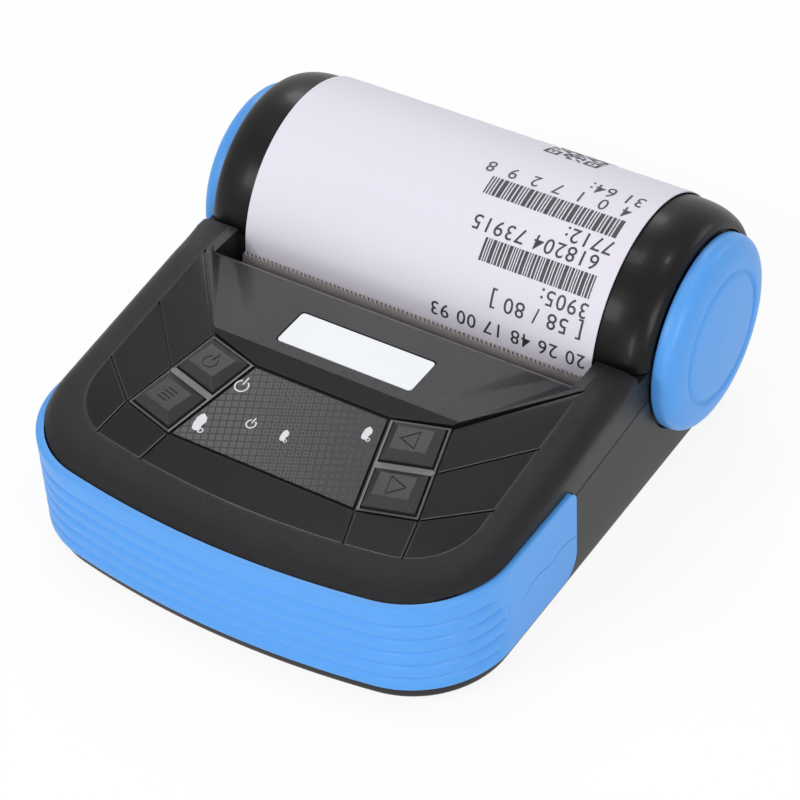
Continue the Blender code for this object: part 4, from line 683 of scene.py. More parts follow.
CREST = ((2.9, 33.0), (3.5, 32.6), (4.2, 32.0), (10.0, 26.3))  # the round edge of the paper valley as (y, z)
VALLEY_REAR_Y = 16.4


def edge_height(y):
    """The top of the side wall: it climbs to the rear and bends up beside the cover."""
    return EDGE_Z + EDGE_SLOPE * min(y, EDGE_BEND_Y) + EDGE_LIFT * min(max(y / EDGE_BEND_Y, 0.0), 1.0) ** 2


def crease_height(y):
    return min(CREASE_Z + CREASE_SLOPE * y, BROW_Z)


def plate_height(y):
    return PLATE_Z + PLATE_SLOPE * y


def rim_ring(share, inset=0.0):
    """One ring of the rim: share 0 is the top of the side wall, share 1 the crease round the deck."""
    half, front = HALF_WIDTH - inset - share * RIM_SIDE, FRONT_Y + inset + share * RIM_FRONT
    outline = plan_outline(half, front, REAR_Y, FRONT_CORNER - inset - share * RIM_SIDE * RIM_CORNER)
    bulge = (1 - (1 - share) ** RIM_POWER) ** (1 / RIM_POWER)
    ring = []
    for x, y in outline:
        low = edge_height(y)
        ring.append((x, y, low + (crease_height(y) - low) * bulge - inset))
    return ring


def nearest(ring, x, y):
    return min(range(len(ring)), key=lambda i: math.hypot(ring[i][0] - x, ring[i][1] - y))


def on_deck(x, y, height):
    """A point at a height along the deck's normal over a place in plan."""
    long = math.hypot(1.0, PLATE_SLOPE)
    return (x, y - height * PLATE_SLOPE / long, plate_height(y) + height / long)


def moved_in(outline, distance):
    """An outline with every side moved inwards by the distance."""
    lines = []
    for i, point in enumerate(outline):
        start, end = Vector(point[:2]), Vector(outline[(i + 1) % len(outline)][:2])
        along = (end - start).normalized()
        lines.append((start + Vector((-along.y, along.x)) * distance, along))
    moved = []
    for i, (q, e) in enumerate(lines):
        p, d = lines[i - 1]
        turn = d.x * e.y - d.y * e.x
        if abs(turn) > 1e-6:
            q = p + d * (((q - p).x * e.y - (q - p).y * e.x) / turn)
        moved.append(tuple(q))
    return moved


def deck_slab(name, outline, low, high):
    """A plan outline as a solid between two heights over the deck."""
    return loft(name, [[on_deck(x, y, height) for x, y in outline] for height in (low, high)])


cell_middle = ((CELL_REAR[0] + CELL_FRONT[0]) / 2, (CELL_REAR[1] + CELL_FRONT[1]) / 2)
deck_places = {"label_rear": LABEL_REAR, "label_front": LABEL_FRONT, "cell_rear": CELL_REAR}
deck_places.update(cell_front=CELL_FRONT, cell_middle=cell_middle)
corners = {name: (x, y, plate_height(y)) for name, (x, y) in deck_places.items()}
corners["brow_front"] = (*BROW_FRONT, BROW_Z)


def deck_corner(name, side):
    x, y, z = corners[name]
    return (side * x, y, z)


crease = rim_ring(1.0)
count = len(crease)
stations = {name: nearest(crease, *place) for name, place in CREASE_PLACES.items()}
low_ring = [(x, y, seam_height(y) + SEAM_GAP) for x, y in plan_outline(HALF_WIDTH, FRONT_Y, REAR_Y)]
rings = [low_ring] + [rim_ring(share) for share in RIM_SHARES]
lip = (HALF_WIDTH - RIM_SIDE, FRONT_Y + RIM_FRONT, REAR_Y, FRONT_CORNER - RIM_SIDE * RIM_CORNER)
for inset, drop in GROOVE_STEPS:
    plan = plan_outline(lip[0] - inset, lip[1] + inset, lip[2] - inset, lip[3] - inset)
    rings.append([(x, y, crease_height(crease_y) - drop) for (x, y), (_, crease_y, _) in zip(plan, crease)])
points = [point for ring in rings for point in ring]
faces = [tuple(reversed(range(count)))]
for level in range(len(rings) - 1):
    low, high = level * count, (level + 1) * count
    faces += [(low + i, low + (i + 1) % count, high + (i + 1) % count, high + i) for i in range(count)]
first = (len(rings) - 1) * count
index = {}
for name in corners:
    for side in (1, -1):
        index[name, side] = len(points)
        x, y, z = deck_corner(name, side)
        points.append((x, y, z - GROOVE_DEPTH))
spans = {
    "front_strip": ("front", "corner", ("cell_front", "label_front")),
    "corner": ("corner", "side_front", ("cell_front",)),
    "side_front": ("side_front", "side_middle", ("cell_middle", "cell_front")),
    "side_rear": ("side_middle", "side_rear", ("cell_rear", "cell_middle")),
}
cell = ("label_front", "cell_front", "cell_middle", "cell_rear", "label_rear")
facets = {}
for side in (1, -1):
    for name, (start, end, inward) in spans.items():
        steps = [i if side == 1 else (count - i) % count for i in range(stations[start], stations[end] + 1)]
        faces.append(tuple([first + i for i in steps] + [index[key, side] for key in inward]))
        facets[name, side] = [crease[i] for i in steps] + [deck_corner(key, side) for key in inward]
    faces.append(tuple(index[name, side] for name in cell))
    facets["cell", side] = [deck_corner(name, side) for name in cell]
    faces.append(tuple(index[name, side] for name in ("label_rear", "cell_rear", "brow_front")))
front = stations["front"]
steps = list(range(count - front, count)) + list(range(front + 1))
faces.append(tuple([first + i for i in steps] + [index["label_front", 1], index["label_front", -1]]))
facets["front", 1] = [crease[i] for i in steps] + [deck_corner("label_front", side) for side in (1, -1)]
rear_steps = range(stations["side_rear"], count - stations["side_rear"] + 1)
brow = [("cell_rear", -1), ("brow_front", -1), ("brow_front", 1), ("cell_rear", 1)]
faces.append(tuple([first + i for i in rear_steps] + [index[key] for key in brow]))
ends = ("label_rear", 1), ("label_rear", -1)
faces.append(tuple(index[key] for key in (("brow_front", 1), ("brow_front", -1), *ends[::-1])))
faces.append(tuple(index[key] for key in (*ends, ("label_front", -1), ("label_front", 1))))
upper_case = piece("upper_case", points, faces)
change(upper_case, "TRIANGULATE", min_vertices=5)


def tile(name, outline, depth=TILE_DEPTH):
    """One facet of the deck: a plate that stops half a groove inside its outline."""
    if sum(a[0] * b[1] - b[0] * a[1] for a, b in zip(outline, outline[1:] + outline[:1])) < 0:
        outline = outline[::-1]
    tops = [(x, y, z) for (x, y), (_, _, z) in zip(moved_in(outline, GROOVE), outline)]
    made = loft(name, [[(x, y, z - depth) for x, y, z in tops], tops])
    return change(made, "TRIANGULATE", min_vertices=5)


KEY_INSET = 0.7
KEY_WELL = 4.4
FACET_ROUND = 0.2
CELL_ROUND = 0.14
label_middle = tuple((a + b) / 2 for a, b in zip(LABEL_REAR, LABEL_FRONT))
rear_cell = [LABEL_REAR, label_middle, cell_middle, CELL_REAR]
front_cell = [label_middle, LABEL_FRONT, CELL_FRONT, cell_middle]
power_cell, menu_cell = ([(-x, y) for x, y in reversed(cell)] for cell in (rear_cell, front_cell))
cells = {"power": power_cell, "menu": menu_cell, "left": rear_cell, "right": front_cell}


def key_holes(*keys):
    return [deck_slab("key_hole", moved_in(cells[key], KEY_INSET), -KEY_WELL, FAR) for key in keys]


tiles = []
for (name, side), outline in facets.items():
    made = tile(f"tile_{name}", outline)
    if name == "cell":
        cut(made, *key_holes(*(("left", "right") if side == 1 else ("power", "menu"))))
    tiles.append(ease(made, CELL_ROUND if name == "cell" else FACET_ROUND, 15, 3))
brow_ends = ((-CELL_REAR[0], CELL_REAR[1]), (-LABEL_REAR[0], LABEL_REAR[1]), LABEL_REAR, CELL_REAR)
brow_outline = [(x, y, BROW_Z) for x, y in [crease[i][:2] for i in rear_steps] + list(brow_ends)]
brow_tile = tile("tile_brow", brow_outline, BROW_TILE_DEPTH)
low_y, high_y = LABEL_REAR[1] - 2.0, BROW_FRONT[1]
low_z = BROW_Z - (BROW_Z - BROW_LOW_Z) / (high_y - LABEL_REAR[1]) * (high_y - low_y)
wedge = [(-HALF_WIDTH, low_y, low_z), (HALF_WIDTH, low_y, low_z), (HALF_WIDTH, high_y, BROW_Z)]
wedge.append((-HALF_WIDTH, high_y, BROW_Z))
cut(brow_tile, loft("bevel_space", [wedge, [(x, y, z + FAR) for x, y, z in wedge]]))
tiles.append(ease(brow_tile, FACET_ROUND, 12, 3))
join(upper_case, *tiles)

bay_rings = [[(x, y, UPPER_FLOOR_Z) for x, y, _ in front_part(rim_ring(0.0, WALL), 0.0)]]
bay_rings += [front_part(rim_ring(share, WALL), 0.0) for share in (0.0, 0.15, 0.4, 1.0)]
valley = [(2.4, OVER_Z), (2.4, BROW_Z + 0.1), *CREST, (CREST[-1][0], UPPER_FLOOR_Z)]
valley += [(VALLEY_REAR_Y, UPPER_FLOOR_Z), (VALLEY_REAR_Y, OVER_Z)]
cut(
    upper_case,
    loft("upper_bay", bay_rings),
    block("upper_works", (-SIDE_INNER, -FAR, UPPER_FLOOR_Z), (SIDE_INNER, DECK_REAR_Y, 25.0)),
    block("upper_drum", (-SIDE_INNER, DECK_REAR_Y, 0.0), (SIDE_INNER, REAR_Y + FAR, OVER_Z)),
    across("valley", valley, -SLOT_HALF, SLOT_HALF),
    block("cover_space", (-reach, DECK_REAR_Y, ARM_TOP_Z), (reach, REAR_Y + FAR, OVER_Z)),
    block("upper_rear_space", (-reach, HINGE[0], 22.0), (reach, REAR_Y + FAR, OVER_Z)),
    rod_x("hinge_space", HINGE, BARREL_RADIUS + GAP, -reach, reach),
    bumper_space(),
    *disc_pockets(),
    *key_holes(*cells),
)
cut(upper_case, deck_slab("key_bay", KEY_BAY, *KEY_BAY_HEIGHTS))


def label_plan(inset):
    left = [(-LABEL_REAR[0], LABEL_REAR[1]), (-LABEL_FRONT[0], LABEL_FRONT[1])]
    return moved_in([LABEL_FRONT, LABEL_REAR, *left], inset)


cut(upper_case, deck_slab("label_space", label_plan(0.3), -LABEL_DEPTH, FAR))


def rounded(low, high, radius, steps=8):
    """A rectangle in plan with round corners."""
    places = ((high[0] - radius, high[1] - radius, 0), (low[0] + radius, high[1] - radius, 1))
    places += ((low[0] + radius, low[1] + radius, 2), (high[0] - radius, low[1] + radius, 3))
    ring = []
    for x, y, quarter in places:
        for step in range(steps + 1):
            angle = math.pi / 2 * (quarter + step / steps)
            ring.append((x + radius * math.cos(angle), y + radius * math.sin(angle)))
    return ring


half, deep = NAME_HALF + 0.2, NAME_DEPTH / 2 + 0.2
recess = rounded((-half, NAME_Y - deep), (half, NAME_Y + deep), 0.9)
cut(upper_case, upright("name_space", recess, NAME_FLOOR_Z, OVER_Z))
flatten(upper_case)


def inside(x, y, outline):
    """Whether a place in plan lies within an outline."""
    found = False
    for (x0, y0, *_), (x1, y1, *_) in zip(outline, outline[1:] + outline[:1]):
        if (y0 > y) != (y1 > y) and x < x0 + (x1 - x0) * (y - y0) / (y1 - y0):
            found = not found
    return found


RIM, DECK, FRAME, EDGE = range(4)  # the case's finishes, in the order of its material slots
deck_black = moulded(
    "deck black", (0.0072, 0.0064, 0.0084), 0.33, grain=5.0, depth=0.035, spread=0.2, Specular_IOR_Level=0.14
)
rim_black = moulded(
    "rim black", (0.0062, 0.0058, 0.007), 0.22, grain=6.0, depth=0.12, spread=0.2, Specular_IOR_Level=0.17
)
# Painted highlight: a paler black on the eased edges of the deck's grooves, standing in for the light they
# catch.
painted_edge_highlight = moulded(
    "painted edge highlight", (0.05, 0.048, 0.051), 0.34, grain=5.0, depth=0.03, spread=0.2, Specular_IOR_Level=0.35
)
# Painted highlight: a light grey on the rib between each two keys, standing in for the light its top catches.
frame_highlight_grey = moulded("frame painted highlight", (0.15, 0.145, 0.145), 0.34, grain=5.0, depth=0.01, Specular_IOR_Level=0.4)
fit(upper_case, rim_black, "body", "deck_black", "upper_shell")
for finish in (deck_black, frame_highlight_grey, painted_edge_highlight):
    upper_case.data.materials.append(finish.material)
start_x, start_y = label_middle
run_x, run_y = cell_middle[0] - start_x, cell_middle[1] - start_y
# Deck faces take the deck black. The eased groove edges take the painted edge highlight, and the rib between
# each two keys takes the painted frame highlight.
for polygon in upper_case.data.polygons:
    x, y, z = (value / MM for value in polygon.center)
    if z > max(24.0, plate_height(y) - 6.0) and inside(x, y, crease):
        polygon.material_index = EDGE if 0.25 < polygon.normal.z < 0.94 else DECK
        near_top = abs(z - plate_height(y)) < 0.32 and polygon.normal.z > 0.2
        if near_top and any(inside(x, y, facets["cell", side]) for side in (-1, 1)):
            off = ((abs(x) - start_x) * run_y - (y - start_y) * run_x) / math.hypot(run_x, run_y)
            polygon.material_index = FRAME if abs(off) < KEY_INSET + 0.1 else EDGE

# ---------------------------------------------------------------------------------------------------------
# Keys. Four caps with wide chamfers stand through the deck over their switches on the key board, each with
# its sign engraved in the top: power, menu, and an arrowhead each way.
KEY_RISE = 1.75
KEY_BEVEL = 1.55
KEY_TILT = 0.4
KEY_FLANGE = 0.6
KEY_LEVELS = (-3.3, -2.5, -2.5, 0.45)  # foot and top of the flange, foot and top of the upright sides
SIGN_WIDTH = 0.27
SIGN_DEPTH = (-0.17, 1.0)
SIGN_LEAN = 14.9
POWER_RADIUS = 1.5
MENU_HALF = 1.35
MENU_PITCH = 0.9
ARROW_TIP = 2.2
switch_steel = worked("switch steel", (0.6, 0.6, 0.59), 0.3, (1.0, 0.3, 1.0), grain=3.0)
dress(switch_steel, "switch_power", "switch_menu", "switch_left", "switch_right")


def stroke(points, width):
    """The two sides of a line of this width through (x, y) points."""
    left, right = [], []
    for i, point in enumerate(points):
        before, after = points[max(i - 1, 0)], points[min(i + 1, len(points) - 1)]
        along = (Vector(after) - Vector(before)).normalized()
        left.append((point[0] - along.y * width / 2, point[1] + along.x * width / 2))
        right.append((point[0] + along.y * width / 2, point[1] - along.x * width / 2))
    return left, right


def ribbon(name, points, width, heights, surface, closed=False):
    """A stroke as a solid between two heights over a surface whose height on the deck is known at each Y."""
    if closed:
        left, right = moved_in(points, width / 2), moved_in(points, -width / 2)
    else:
        left, right = stroke(points, width)
    low, high = heights
    rings = []
    for one, other in zip(left, right):
        ring = ((*one, low), (*other, low), (*other, high), (*one, high))
        rings.append([on_deck(x, y, height + surface(y)) for x, y, height in ring])
    return loft(name, rings, closed=closed)


def arc_points(middle_x, middle_y, radius, start, end, steps=24):
    angles = [math.radians(start + (end - start) * step / steps) for step in range(steps + 1)]
    return [(middle_x + radius * math.cos(a), middle_y + radius * math.sin(a)) for a in angles]


def power_sign(x, y, radius, width, heights, surface, lean=0.0):
    """A ring that is open at the back, and a bar through the opening."""
    over, along = math.sin(math.radians(lean)), math.cos(math.radians(lean))
    ring = ribbon("sign", arc_points(x, y, radius, 118 - lean, 422 - lean), width, heights, surface)
    ends = [(x + over * radius * share, y + along * radius * share) for share in (0.25, 1.65)]
    return [ring, ribbon("sign", ends, width, heights, surface)]


def key_place(middle, turn, over, up):
    """A place on a key's top, measured from its middle along its own leaning directions."""
    sine, cosine = math.sin(turn), math.cos(turn)
    return (middle[0] + cosine * over - sine * up, middle[1] + sine * over + cosine * up)


key_black = moulded(
    "key black", (0.021, 0.019, 0.021), 0.42, grain=5.0, depth=0.02, spread=0.12, Specular_IOR_Level=0.24
)
for key, cell in cells.items():
    outer = moved_in(cell, KEY_INSET + GAP)
    flange = moved_in(cell, KEY_INSET - KEY_FLANGE)
    top = moved_in(outer, KEY_BEVEL)
    x, y = (sum(point[i] for point in top) / 4 for i in (0, 1))
    deep = max(point[1] for point in top) - y
    sides = zip((flange, flange, outer, outer), KEY_LEVELS)
    rings = [[on_deck(px, py, height) for px, py in ring] for ring, height in sides]

    def key_top(at, key_y=y, half_deep=deep):
        return KEY_RISE - KEY_TILT * (at - key_y) / half_deep

    rings.append([on_deck(px, py, key_top(py)) for px, py in top])
    cap = ease(loft(f"{key}_key_cap", rings), 0.14, 25, 3)
    lean = SIGN_LEAN if x < 0 else -SIGN_LEAN
    turn = math.radians(-lean)
    signs = []
    if key == "power":
        signs = power_sign(x, y - 0.3, POWER_RADIUS, SIGN_WIDTH, SIGN_DEPTH, key_top, lean)
    elif key == "menu":
        for row in range(4):
            up = MENU_HALF - MENU_PITCH * row
            ends = [key_place((x, y), turn, over, up) for over in (-MENU_HALF, MENU_HALF)]
            signs.append(ribbon("sign", ends, SIGN_WIDTH, SIGN_DEPTH, key_top))
    else:
        tip = -ARROW_TIP if key == "left" else ARROW_TIP
        arrow = ((tip, 0.0), (-tip / 2, tip), (-tip / 2, -tip))
        arrow = [key_place((x, y), turn, over, up) for over, up in arrow]
        signs.append(ribbon("sign", arrow, SIGN_WIDTH, SIGN_DEPTH, key_top, closed=True))
    cut(cap, *signs)
    flatten(cap)
    fit(cap, key_black, f"{key}_key", "key_black", f"key_{key}")

# ---------------------------------------------------------------------------------------------------------
# Label. A printed film laid in the recess between the keys: a grid of small outlined squares that thins out
# to the right, and white signs beside the lamp windows.
LABEL_FILM = 0.4
GRID_TURN = 23.0
GRID_PITCH = (1.42, 1.62)
GRID_LINE = 0.12
INK_DEPTH = (0.0, 0.03)
ROLL_SIGN = ((-1.1, 1.3), (-1.0, -0.4), (-0.6, -1.7), (0.2, -2.0), (1.3, -1.6), (1.0, -0.3), (1.35, 0.9))
ROLL_SIGN += ((0.9, 2.0), (-0.3, 2.7), (-0.8, 2.2))
label = deck_slab("printed_label", label_plan(0.5), -LABEL_FILM, 0.0)
flatten(ease(label, 0.06, 30, 2))


def printed_film(name):
    """Dark ink on film. The squares' size and strength fall off to the right."""
    finish = Finish(name, Specular_IOR_Level=0.25)
    places = finish.along(1 / MM)
    x, y = places["X"], places["Y"]
    turn = math.radians(GRID_TURN)
    over = x * math.cos(turn) + y * math.sin(turn)
    along = y * math.cos(turn) - x * math.sin(turn)

    def falling(start, end):
        values = {0: over, 1: start, 2: end, 3: 1.0, 4: 0.0}
        return finish.add("ShaderNodeMapRange", {"interpolation_type": "SMOOTHSTEP"}, values)[0]

    fade, filled = falling(-13.0, 6.0), falling(-24.0, -13.0)
    across_cell = abs((over / GRID_PITCH[0] + 0.3).fraction() - 0.5)
    along_cell = abs((along / GRID_PITCH[1] + 0.2).fraction() - 0.5)
    size = 0.14 + fade * 0.22
    far_out = across_cell.larger(along_cell)
    lines = (far_out < size) * (far_out > size - GRID_LINE).larger(filled * 0.7)
    speckle = finish.noise(5.0, 2.0) > 0.58
    ink = finish.mix(finish.noise(1.5), (0.026, 0.025, 0.028), (0.036, 0.034, 0.038))
    ink = finish.mix(speckle * 0.25, ink, (0.12, 0.12, 0.125))
    return finish.feed(
        Base_Color=finish.mix(lines * (0.1 + fade * 0.42), ink, (0.14, 0.135, 0.142)),
        Roughness=0.46 + speckle * 0.1,
        Normal=finish.relief(finish.noise(5.0), 0.01),
    )


fit(label, printed_film("label film"), "body", "label_film", "key_label")
white_ink = moulded("white ink", (0.6, 0.6, 0.62), 0.5, grain=4.0, depth=0.005, spread=0.03)


def label_top(_):
    return 0.0


signs = power_sign(-14.7, -25.5, 1.35, 0.3, INK_DEPTH, label_top, 4)
signs += power_sign(-7.8, -32.5, 0.95, 0.27, INK_DEPTH, label_top, 4)
for x, y, scale in ((-17.0, -36.6, 0.9), (-0.6, -32.3, 0.58), (13.1, -25.2, 0.68)):
    outline = [(x + scale * over, y + scale * up) for over, up in ROLL_SIGN]
    signs.append(deck_slab("roll_sign", outline, *INK_DEPTH))
    ring = arc_points(x + 1.5 * scale, y - 1.5 * scale, 0.55 * scale, 0, 350, 23)
    signs.append(ribbon("roll_eye", ring, 0.26 * scale, INK_DEPTH, label_top, closed=True))
label_signs = join(*signs)
label_signs.name = "label_signs"
fit(soften(label_signs), white_ink, "body", "white_plate")

# ---------------------------------------------------------------------------------------------------------
# Name plate. A bare white plate with round corners, moulded in ABS and pressed into a shallow recess in the
# brow, so that its face lies just under the brow's.
PLATE_LOW_Z = 32.3
PLATE_TOP_Z = 33.12
half, deep = NAME_HALF - 0.05, NAME_DEPTH / 2 - 0.05
plate_ring = rounded((-half, NAME_Y - deep), (half, NAME_Y + deep), 0.8)
name_plate = ease(upright("bare_plate", plate_ring, PLATE_LOW_Z, PLATE_TOP_Z), 0.08, 30, 3)
flatten(name_plate)
white_plate = moulded("white plate", (0.7, 0.72, 0.76), 0.4, depth=0.006, spread=0.02, Specular_IOR_Level=0.3)
fit(name_plate, white_plate, "body", "white_plate", "name_plate")

# ---------------------------------------------------------------------------------------------------------
# Tear bar. A stamped strip of spring steel with eighty fine teeth. It stands in the valley of the upper case
# in front of the slot and leans back a little over the paper.
TEAR_HALF = 40.0
TEAR_FOOT = (10.3, 25.0)
TEAR_HEIGHT = 3.3
TEAR_VALLEY = 2.5
TEAR_TEETH = 80
TEAR_LEAN = math.radians(6.0)
TEAR_DEPTHS = ((0.0, 0.0), (0.38, 0.0), (0.5, 0.12))  # from the front face back, and the bevel on the teeth
outline = [(-TEAR_HALF, 0.0), (TEAR_HALF, 0.0)]
for tooth in range(TEAR_TEETH):
    right, shoulder_z = TEAR_HALF - tooth, TEAR_HEIGHT - 0.03
    outline += [(right, TEAR_VALLEY), (right - 0.42, shoulder_z), (right - 0.5, TEAR_HEIGHT)]
    outline.append((right - 0.58, shoulder_z))
outline.append((-TEAR_HALF, TEAR_VALLEY))
sine, cosine = math.sin(TEAR_LEAN), math.cos(TEAR_LEAN)
rings = []
for depth, shrink in TEAR_DEPTHS:
    ring = []
    for x, up in outline:
        height = up - (shrink if up > 1 else 0.0)
        y = TEAR_FOOT[0] + height * sine + depth * cosine
        ring.append((x, y, TEAR_FOOT[1] + height * cosine - depth * sine))
    rings.append(ring)
tear_blade = loft("tear_blade", rings)
blade_steel = worked(
    "blade steel", (0.5, 0.46, 0.45), 0.55, (0.06, 1.0, 1.0), grain=5.0, depth=0.008, Metallic=0.0
)
fit(tear_blade, blade_steel, "body", "blade_steel", "tear_bar")

# ---------------------------------------------------------------------------------------------------------
# Bumper. A soft blue ABS band pressed into the recess round the front, scalloped in ribs that run out in a
# round end before each tip, with a shallow step line across the tip.
BUMPER_OUT = 0.8
BUMPER_IN = 0.8
LONG_EDGE = ((0.5, 0.0), (0.2, 0.06), (0.05, 0.16))  # how its long edges round off, inwards and along Z
RIB_DEPTH = 0.55
RIB_LOW = 6.8
RIB_PITCH = 3.35
RIB_COUNT = 4
RIB_STEPS = (0.0, 0.03, 0.07, 0.13, 0.21, 0.31, 0.42, 0.5, 0.58, 0.69, 0.79, 0.87, 0.93, 0.97)
CORNER_Y = -36.73
ARC_MIDDLE_Z = 12.9
ARC_HALF = 9.3
ARC_REACH = 9.5
STEP_LINE = ((-33.6, 12.6), (-31.0, 13.9), (-28.2, 14.8), (-24.8, 14.3))  # (y, z) along each tip
STEP_LINE += ((-22.0, 13.6), (-18.9, 14.4), (-16.4, 13.9), (-12.0, 12.6))


def smooth_step(value):
    value = min(max(value, 0.0), 1.0)
    return value * value * (3 - 2 * value)


def along_corner(x, y):
    """How far round the front corner a place on the bumper lies, from the end of the straight side."""
    if y > CORNER_Y:
        return CORNER_Y - y
    return (FRONT_CORNER + BUMPER_OUT) * math.atan2(CORNER_Y - y, abs(x) - (HALF_WIDTH - FRONT_CORNER))


def rib_depth(x, y, z):
    """How far the surface lies back: rounded ribs between valleys, inside a round end with a soft line."""
    off = min(abs(z - ARC_MIDDLE_Z) / ARC_HALF, 1.0)
    within = along_corner(x, y) - 0.7 - ARC_REACH * (1 - math.sqrt(1 - off**2))
    across_rib = (z - RIB_LOW) / RIB_PITCH
    if across_rib < 0:
        share = max(1 + 2 * across_rib, 0.0)
    elif across_rib > RIB_COUNT:
        share = max(1 - 2 * (across_rib - RIB_COUNT), 0.0)
    else:
        share = abs((across_rib % 1.0) - 0.5) * 2
    line = 0.22 * math.exp(-((within / 0.4) ** 2)) * (1 - off**6)
    return max(RIB_DEPTH * share**2.6 * smooth_step(within / 1.5), line)


levels = [RIB_LOW - RIB_PITCH * share for share in (0.72, 0.6, 0.5, 0.4, 0.3, 0.2, 0.13, 0.07, 0.03)]
levels += [RIB_LOW + RIB_PITCH * (rib + share) for rib in range(RIB_COUNT) for share in RIB_STEPS]
top_rib = RIB_LOW + RIB_PITCH * RIB_COUNT
levels += [top_rib + RIB_PITCH * share for share in (*RIB_STEPS[:8], 0.7, 0.9, 1.1, 1.25)]
profile = [(BUMPER_OUT - inwards, BUMPER_LOW + rise) for inwards, rise in LONG_EDGE]
profile += [(BUMPER_OUT, z) for z in levels]
profile += [(BUMPER_OUT - inwards, BUMPER_HIGH - fall) for inwards, fall in reversed(LONG_EDGE)]
profile += [(-BUMPER_IN, z) for _, z in reversed(profile)]
smooth_rings = along_path(profile, 40, 90, 24)
rings = []
for at, smooth_ring in enumerate(smooth_rings):
    before, after = smooth_rings[max(at - 1, 0)], smooth_rings[min(at + 1, len(smooth_rings) - 1)]
    ring = []
    for (offset, _), (x, y, z), start, end in zip(profile, smooth_ring, before, after):
        depth = rib_depth(x, y, z) if offset > BUMPER_OUT - 0.01 else 0.0
        along = (Vector(end[:2]) - Vector(start[:2])).normalized()
        ring.append((x + along.y * depth, y - along.x * depth, z))
    rings.append(ring)
bumper = loft("ribbed_bumper", rings, 50, strips=True)
deep_in, far_out = HALF_WIDTH + BUMPER_OUT - 0.3, HALF_WIDTH + FAR
for side in (-1, 1):
    rings = []
    for y, z in STEP_LINE:
        tall = 0.12 if (y, z) in (STEP_LINE[0], STEP_LINE[-1]) else 0.22
        ring = ((deep_in, z + tall), (far_out, z + tall + 0.1), (far_out, z - tall), (deep_in, z))
        rings.append([(side * x, y, height) for x, height in ring])
    cut(bumper, loft("step_line", rings))
blue_plastic = moulded(
    "blue plastic", (0.078, 0.3, 0.72), 0.4, grain=4.0, depth=0.012, spread=0.03, Specular_IOR_Level=0.3
)
fit(bumper, blue_plastic, "body", "blue_plastic", "front_bumper")

# ---------------------------------------------------------------------------------------------------------
# Rear cover. A polished black ABS half drum with rounded shoulders. It swings on the pin through its barrels
# and carries the liner, the platen and the paper that lies over it.
DRUM_RADIUS = 24.2
DRUM_WALL = 2.2
SHOULDER_X = 8.0
SHOULDER_R = 3.3
SHOULDER_STEPS = 20
SKIRT_Z = 27.6
UNDER_Z = -4.0
CATCH_X = (44.9, SIDE_INNER + 1)
CATCH_HALF = 2.0
CATCH_HEIGHT = 1.2
WEB_FRONT, WEB_REAR, WEB_RISE = 0.58, 1.5, 0.9
side_face = DRUM_RADIUS - SHOULDER_R
section = [(-HALF_WIDTH, 0.001), (-HALF_WIDTH, side_face)]
for step in range(1, SHOULDER_STEPS + 1):
    angle = math.pi / 2 * step / SHOULDER_STEPS
    section.append((SHOULDER_X * (1 - math.cos(angle)) - HALF_WIDTH, side_face + SHOULDER_R * math.sin(angle)))
cover = turned("cover", mirrored(section), DRUM, 240)
bottom_z = ARM_TOP_Z + GAP
middle_y = DRUM[0] - DRUM_RADIUS / 2
skirt = SLOT_HALF - 2 * GAP
cut(
    cover,
    rod_x("cover_inside", DRUM, DRUM_RADIUS - DRUM_WALL, -SIDE_INNER, SIDE_INNER, 240),
    block("under_rear", (-reach, middle_y, UNDER_Z), (reach, REAR_Y + FAR, bottom_z)),
    block("under_left", (-reach, 0.0, UNDER_Z), (-skirt, middle_y + 1, bottom_z)),
    block("under_right", (skirt, 0.0, UNDER_Z), (reach, middle_y + 1, bottom_z)),
    block("under_skirt", (-reach, 0.0, UNDER_Z), (reach, middle_y + 1, SKIRT_Z)),
    *disc_pockets(),
)
lug_end = LUG_INNER + LUG_WIDTH + GAP
for low, high in ((-LUG_INNER + GAP, LUG_INNER - GAP), (-POCKET_X, -lug_end), (lug_end, POCKET_X)):
    web_low = (low + END_EASE, HINGE[0] - WEB_FRONT, HINGE[1])
    web = block("web", web_low, (high - END_EASE, HINGE[0] + WEB_REAR, bottom_z + WEB_RISE))
    join(cover, web, rod_x("barrel", HINGE, BARREL_RADIUS, low, high, 64))
for side in (-1, 1):
    low, high = sorted((side * (LUG_INNER - GAP), side * lug_end))
    cut(cover, rod_x("lug_space", HINGE, BARREL_RADIUS + GAP, low, high, 64))
    low, high = sorted(side * x for x in CATCH_X)
    catch_high = (high, DRUM[0] + CATCH_HALF, bottom_z + CATCH_HEIGHT)
    join(cover, block("catch", (low, DRUM[0] - CATCH_HALF, bottom_z), catch_high))
cut(cover, rod_x("pin_space", HINGE, PIN_RADIUS + GAP, -lug_end, lug_end, 40))
flatten(cover, 30)


def polished(name, colour):
    """Polished moulding: a clear, sharp gloss with the faint ripple of the mould."""
    finish = Finish(name, Specular_IOR_Level=0.13, Coat_Roughness=0.12)
    ripple, dust = finish.noise(0.12, 2.0), finish.noise(3.0, 2.0)
    return finish.feed(
        Base_Color=finish.mix(ripple, shaded(colour, 0.85), shaded(colour, 1.15)),
        Roughness=0.28 + ripple * 0.1 + dust * 0.04,
        Coat_Weight=0.03 + dust * 0.03,
        Normal=finish.relief(ripple, 0.03),
    )


gloss_black = polished("gloss black", (0.005, 0.005, 0.0055))
fit(cover, gloss_black, "cover", "gloss_black", "cover_shell")

# ---------------------------------------------------------------------------------------------------------
# Liner. The curved inner panel of the cover, in the same black ABS as the cases. It's fixed inside the cover,
# and its two brackets carry the platen in its bushes.
dress(shell_black, "cover_liner")

# ---------------------------------------------------------------------------------------------------------
# Receipt. The printed sheet comes up out of the slot, bends back over the cover and lies on it. The print is
# plain: rows of figures, bars of several widths and a block of squares, which read from the rear.
PAPER_THICK = 0.2
SHEET_RADIUS = DRUM_RADIUS + GAP
SHEET_START = 177.0
SHEET_END = 24.0
SHEET_COLUMNS, SHEET_ROWS = 32, 96


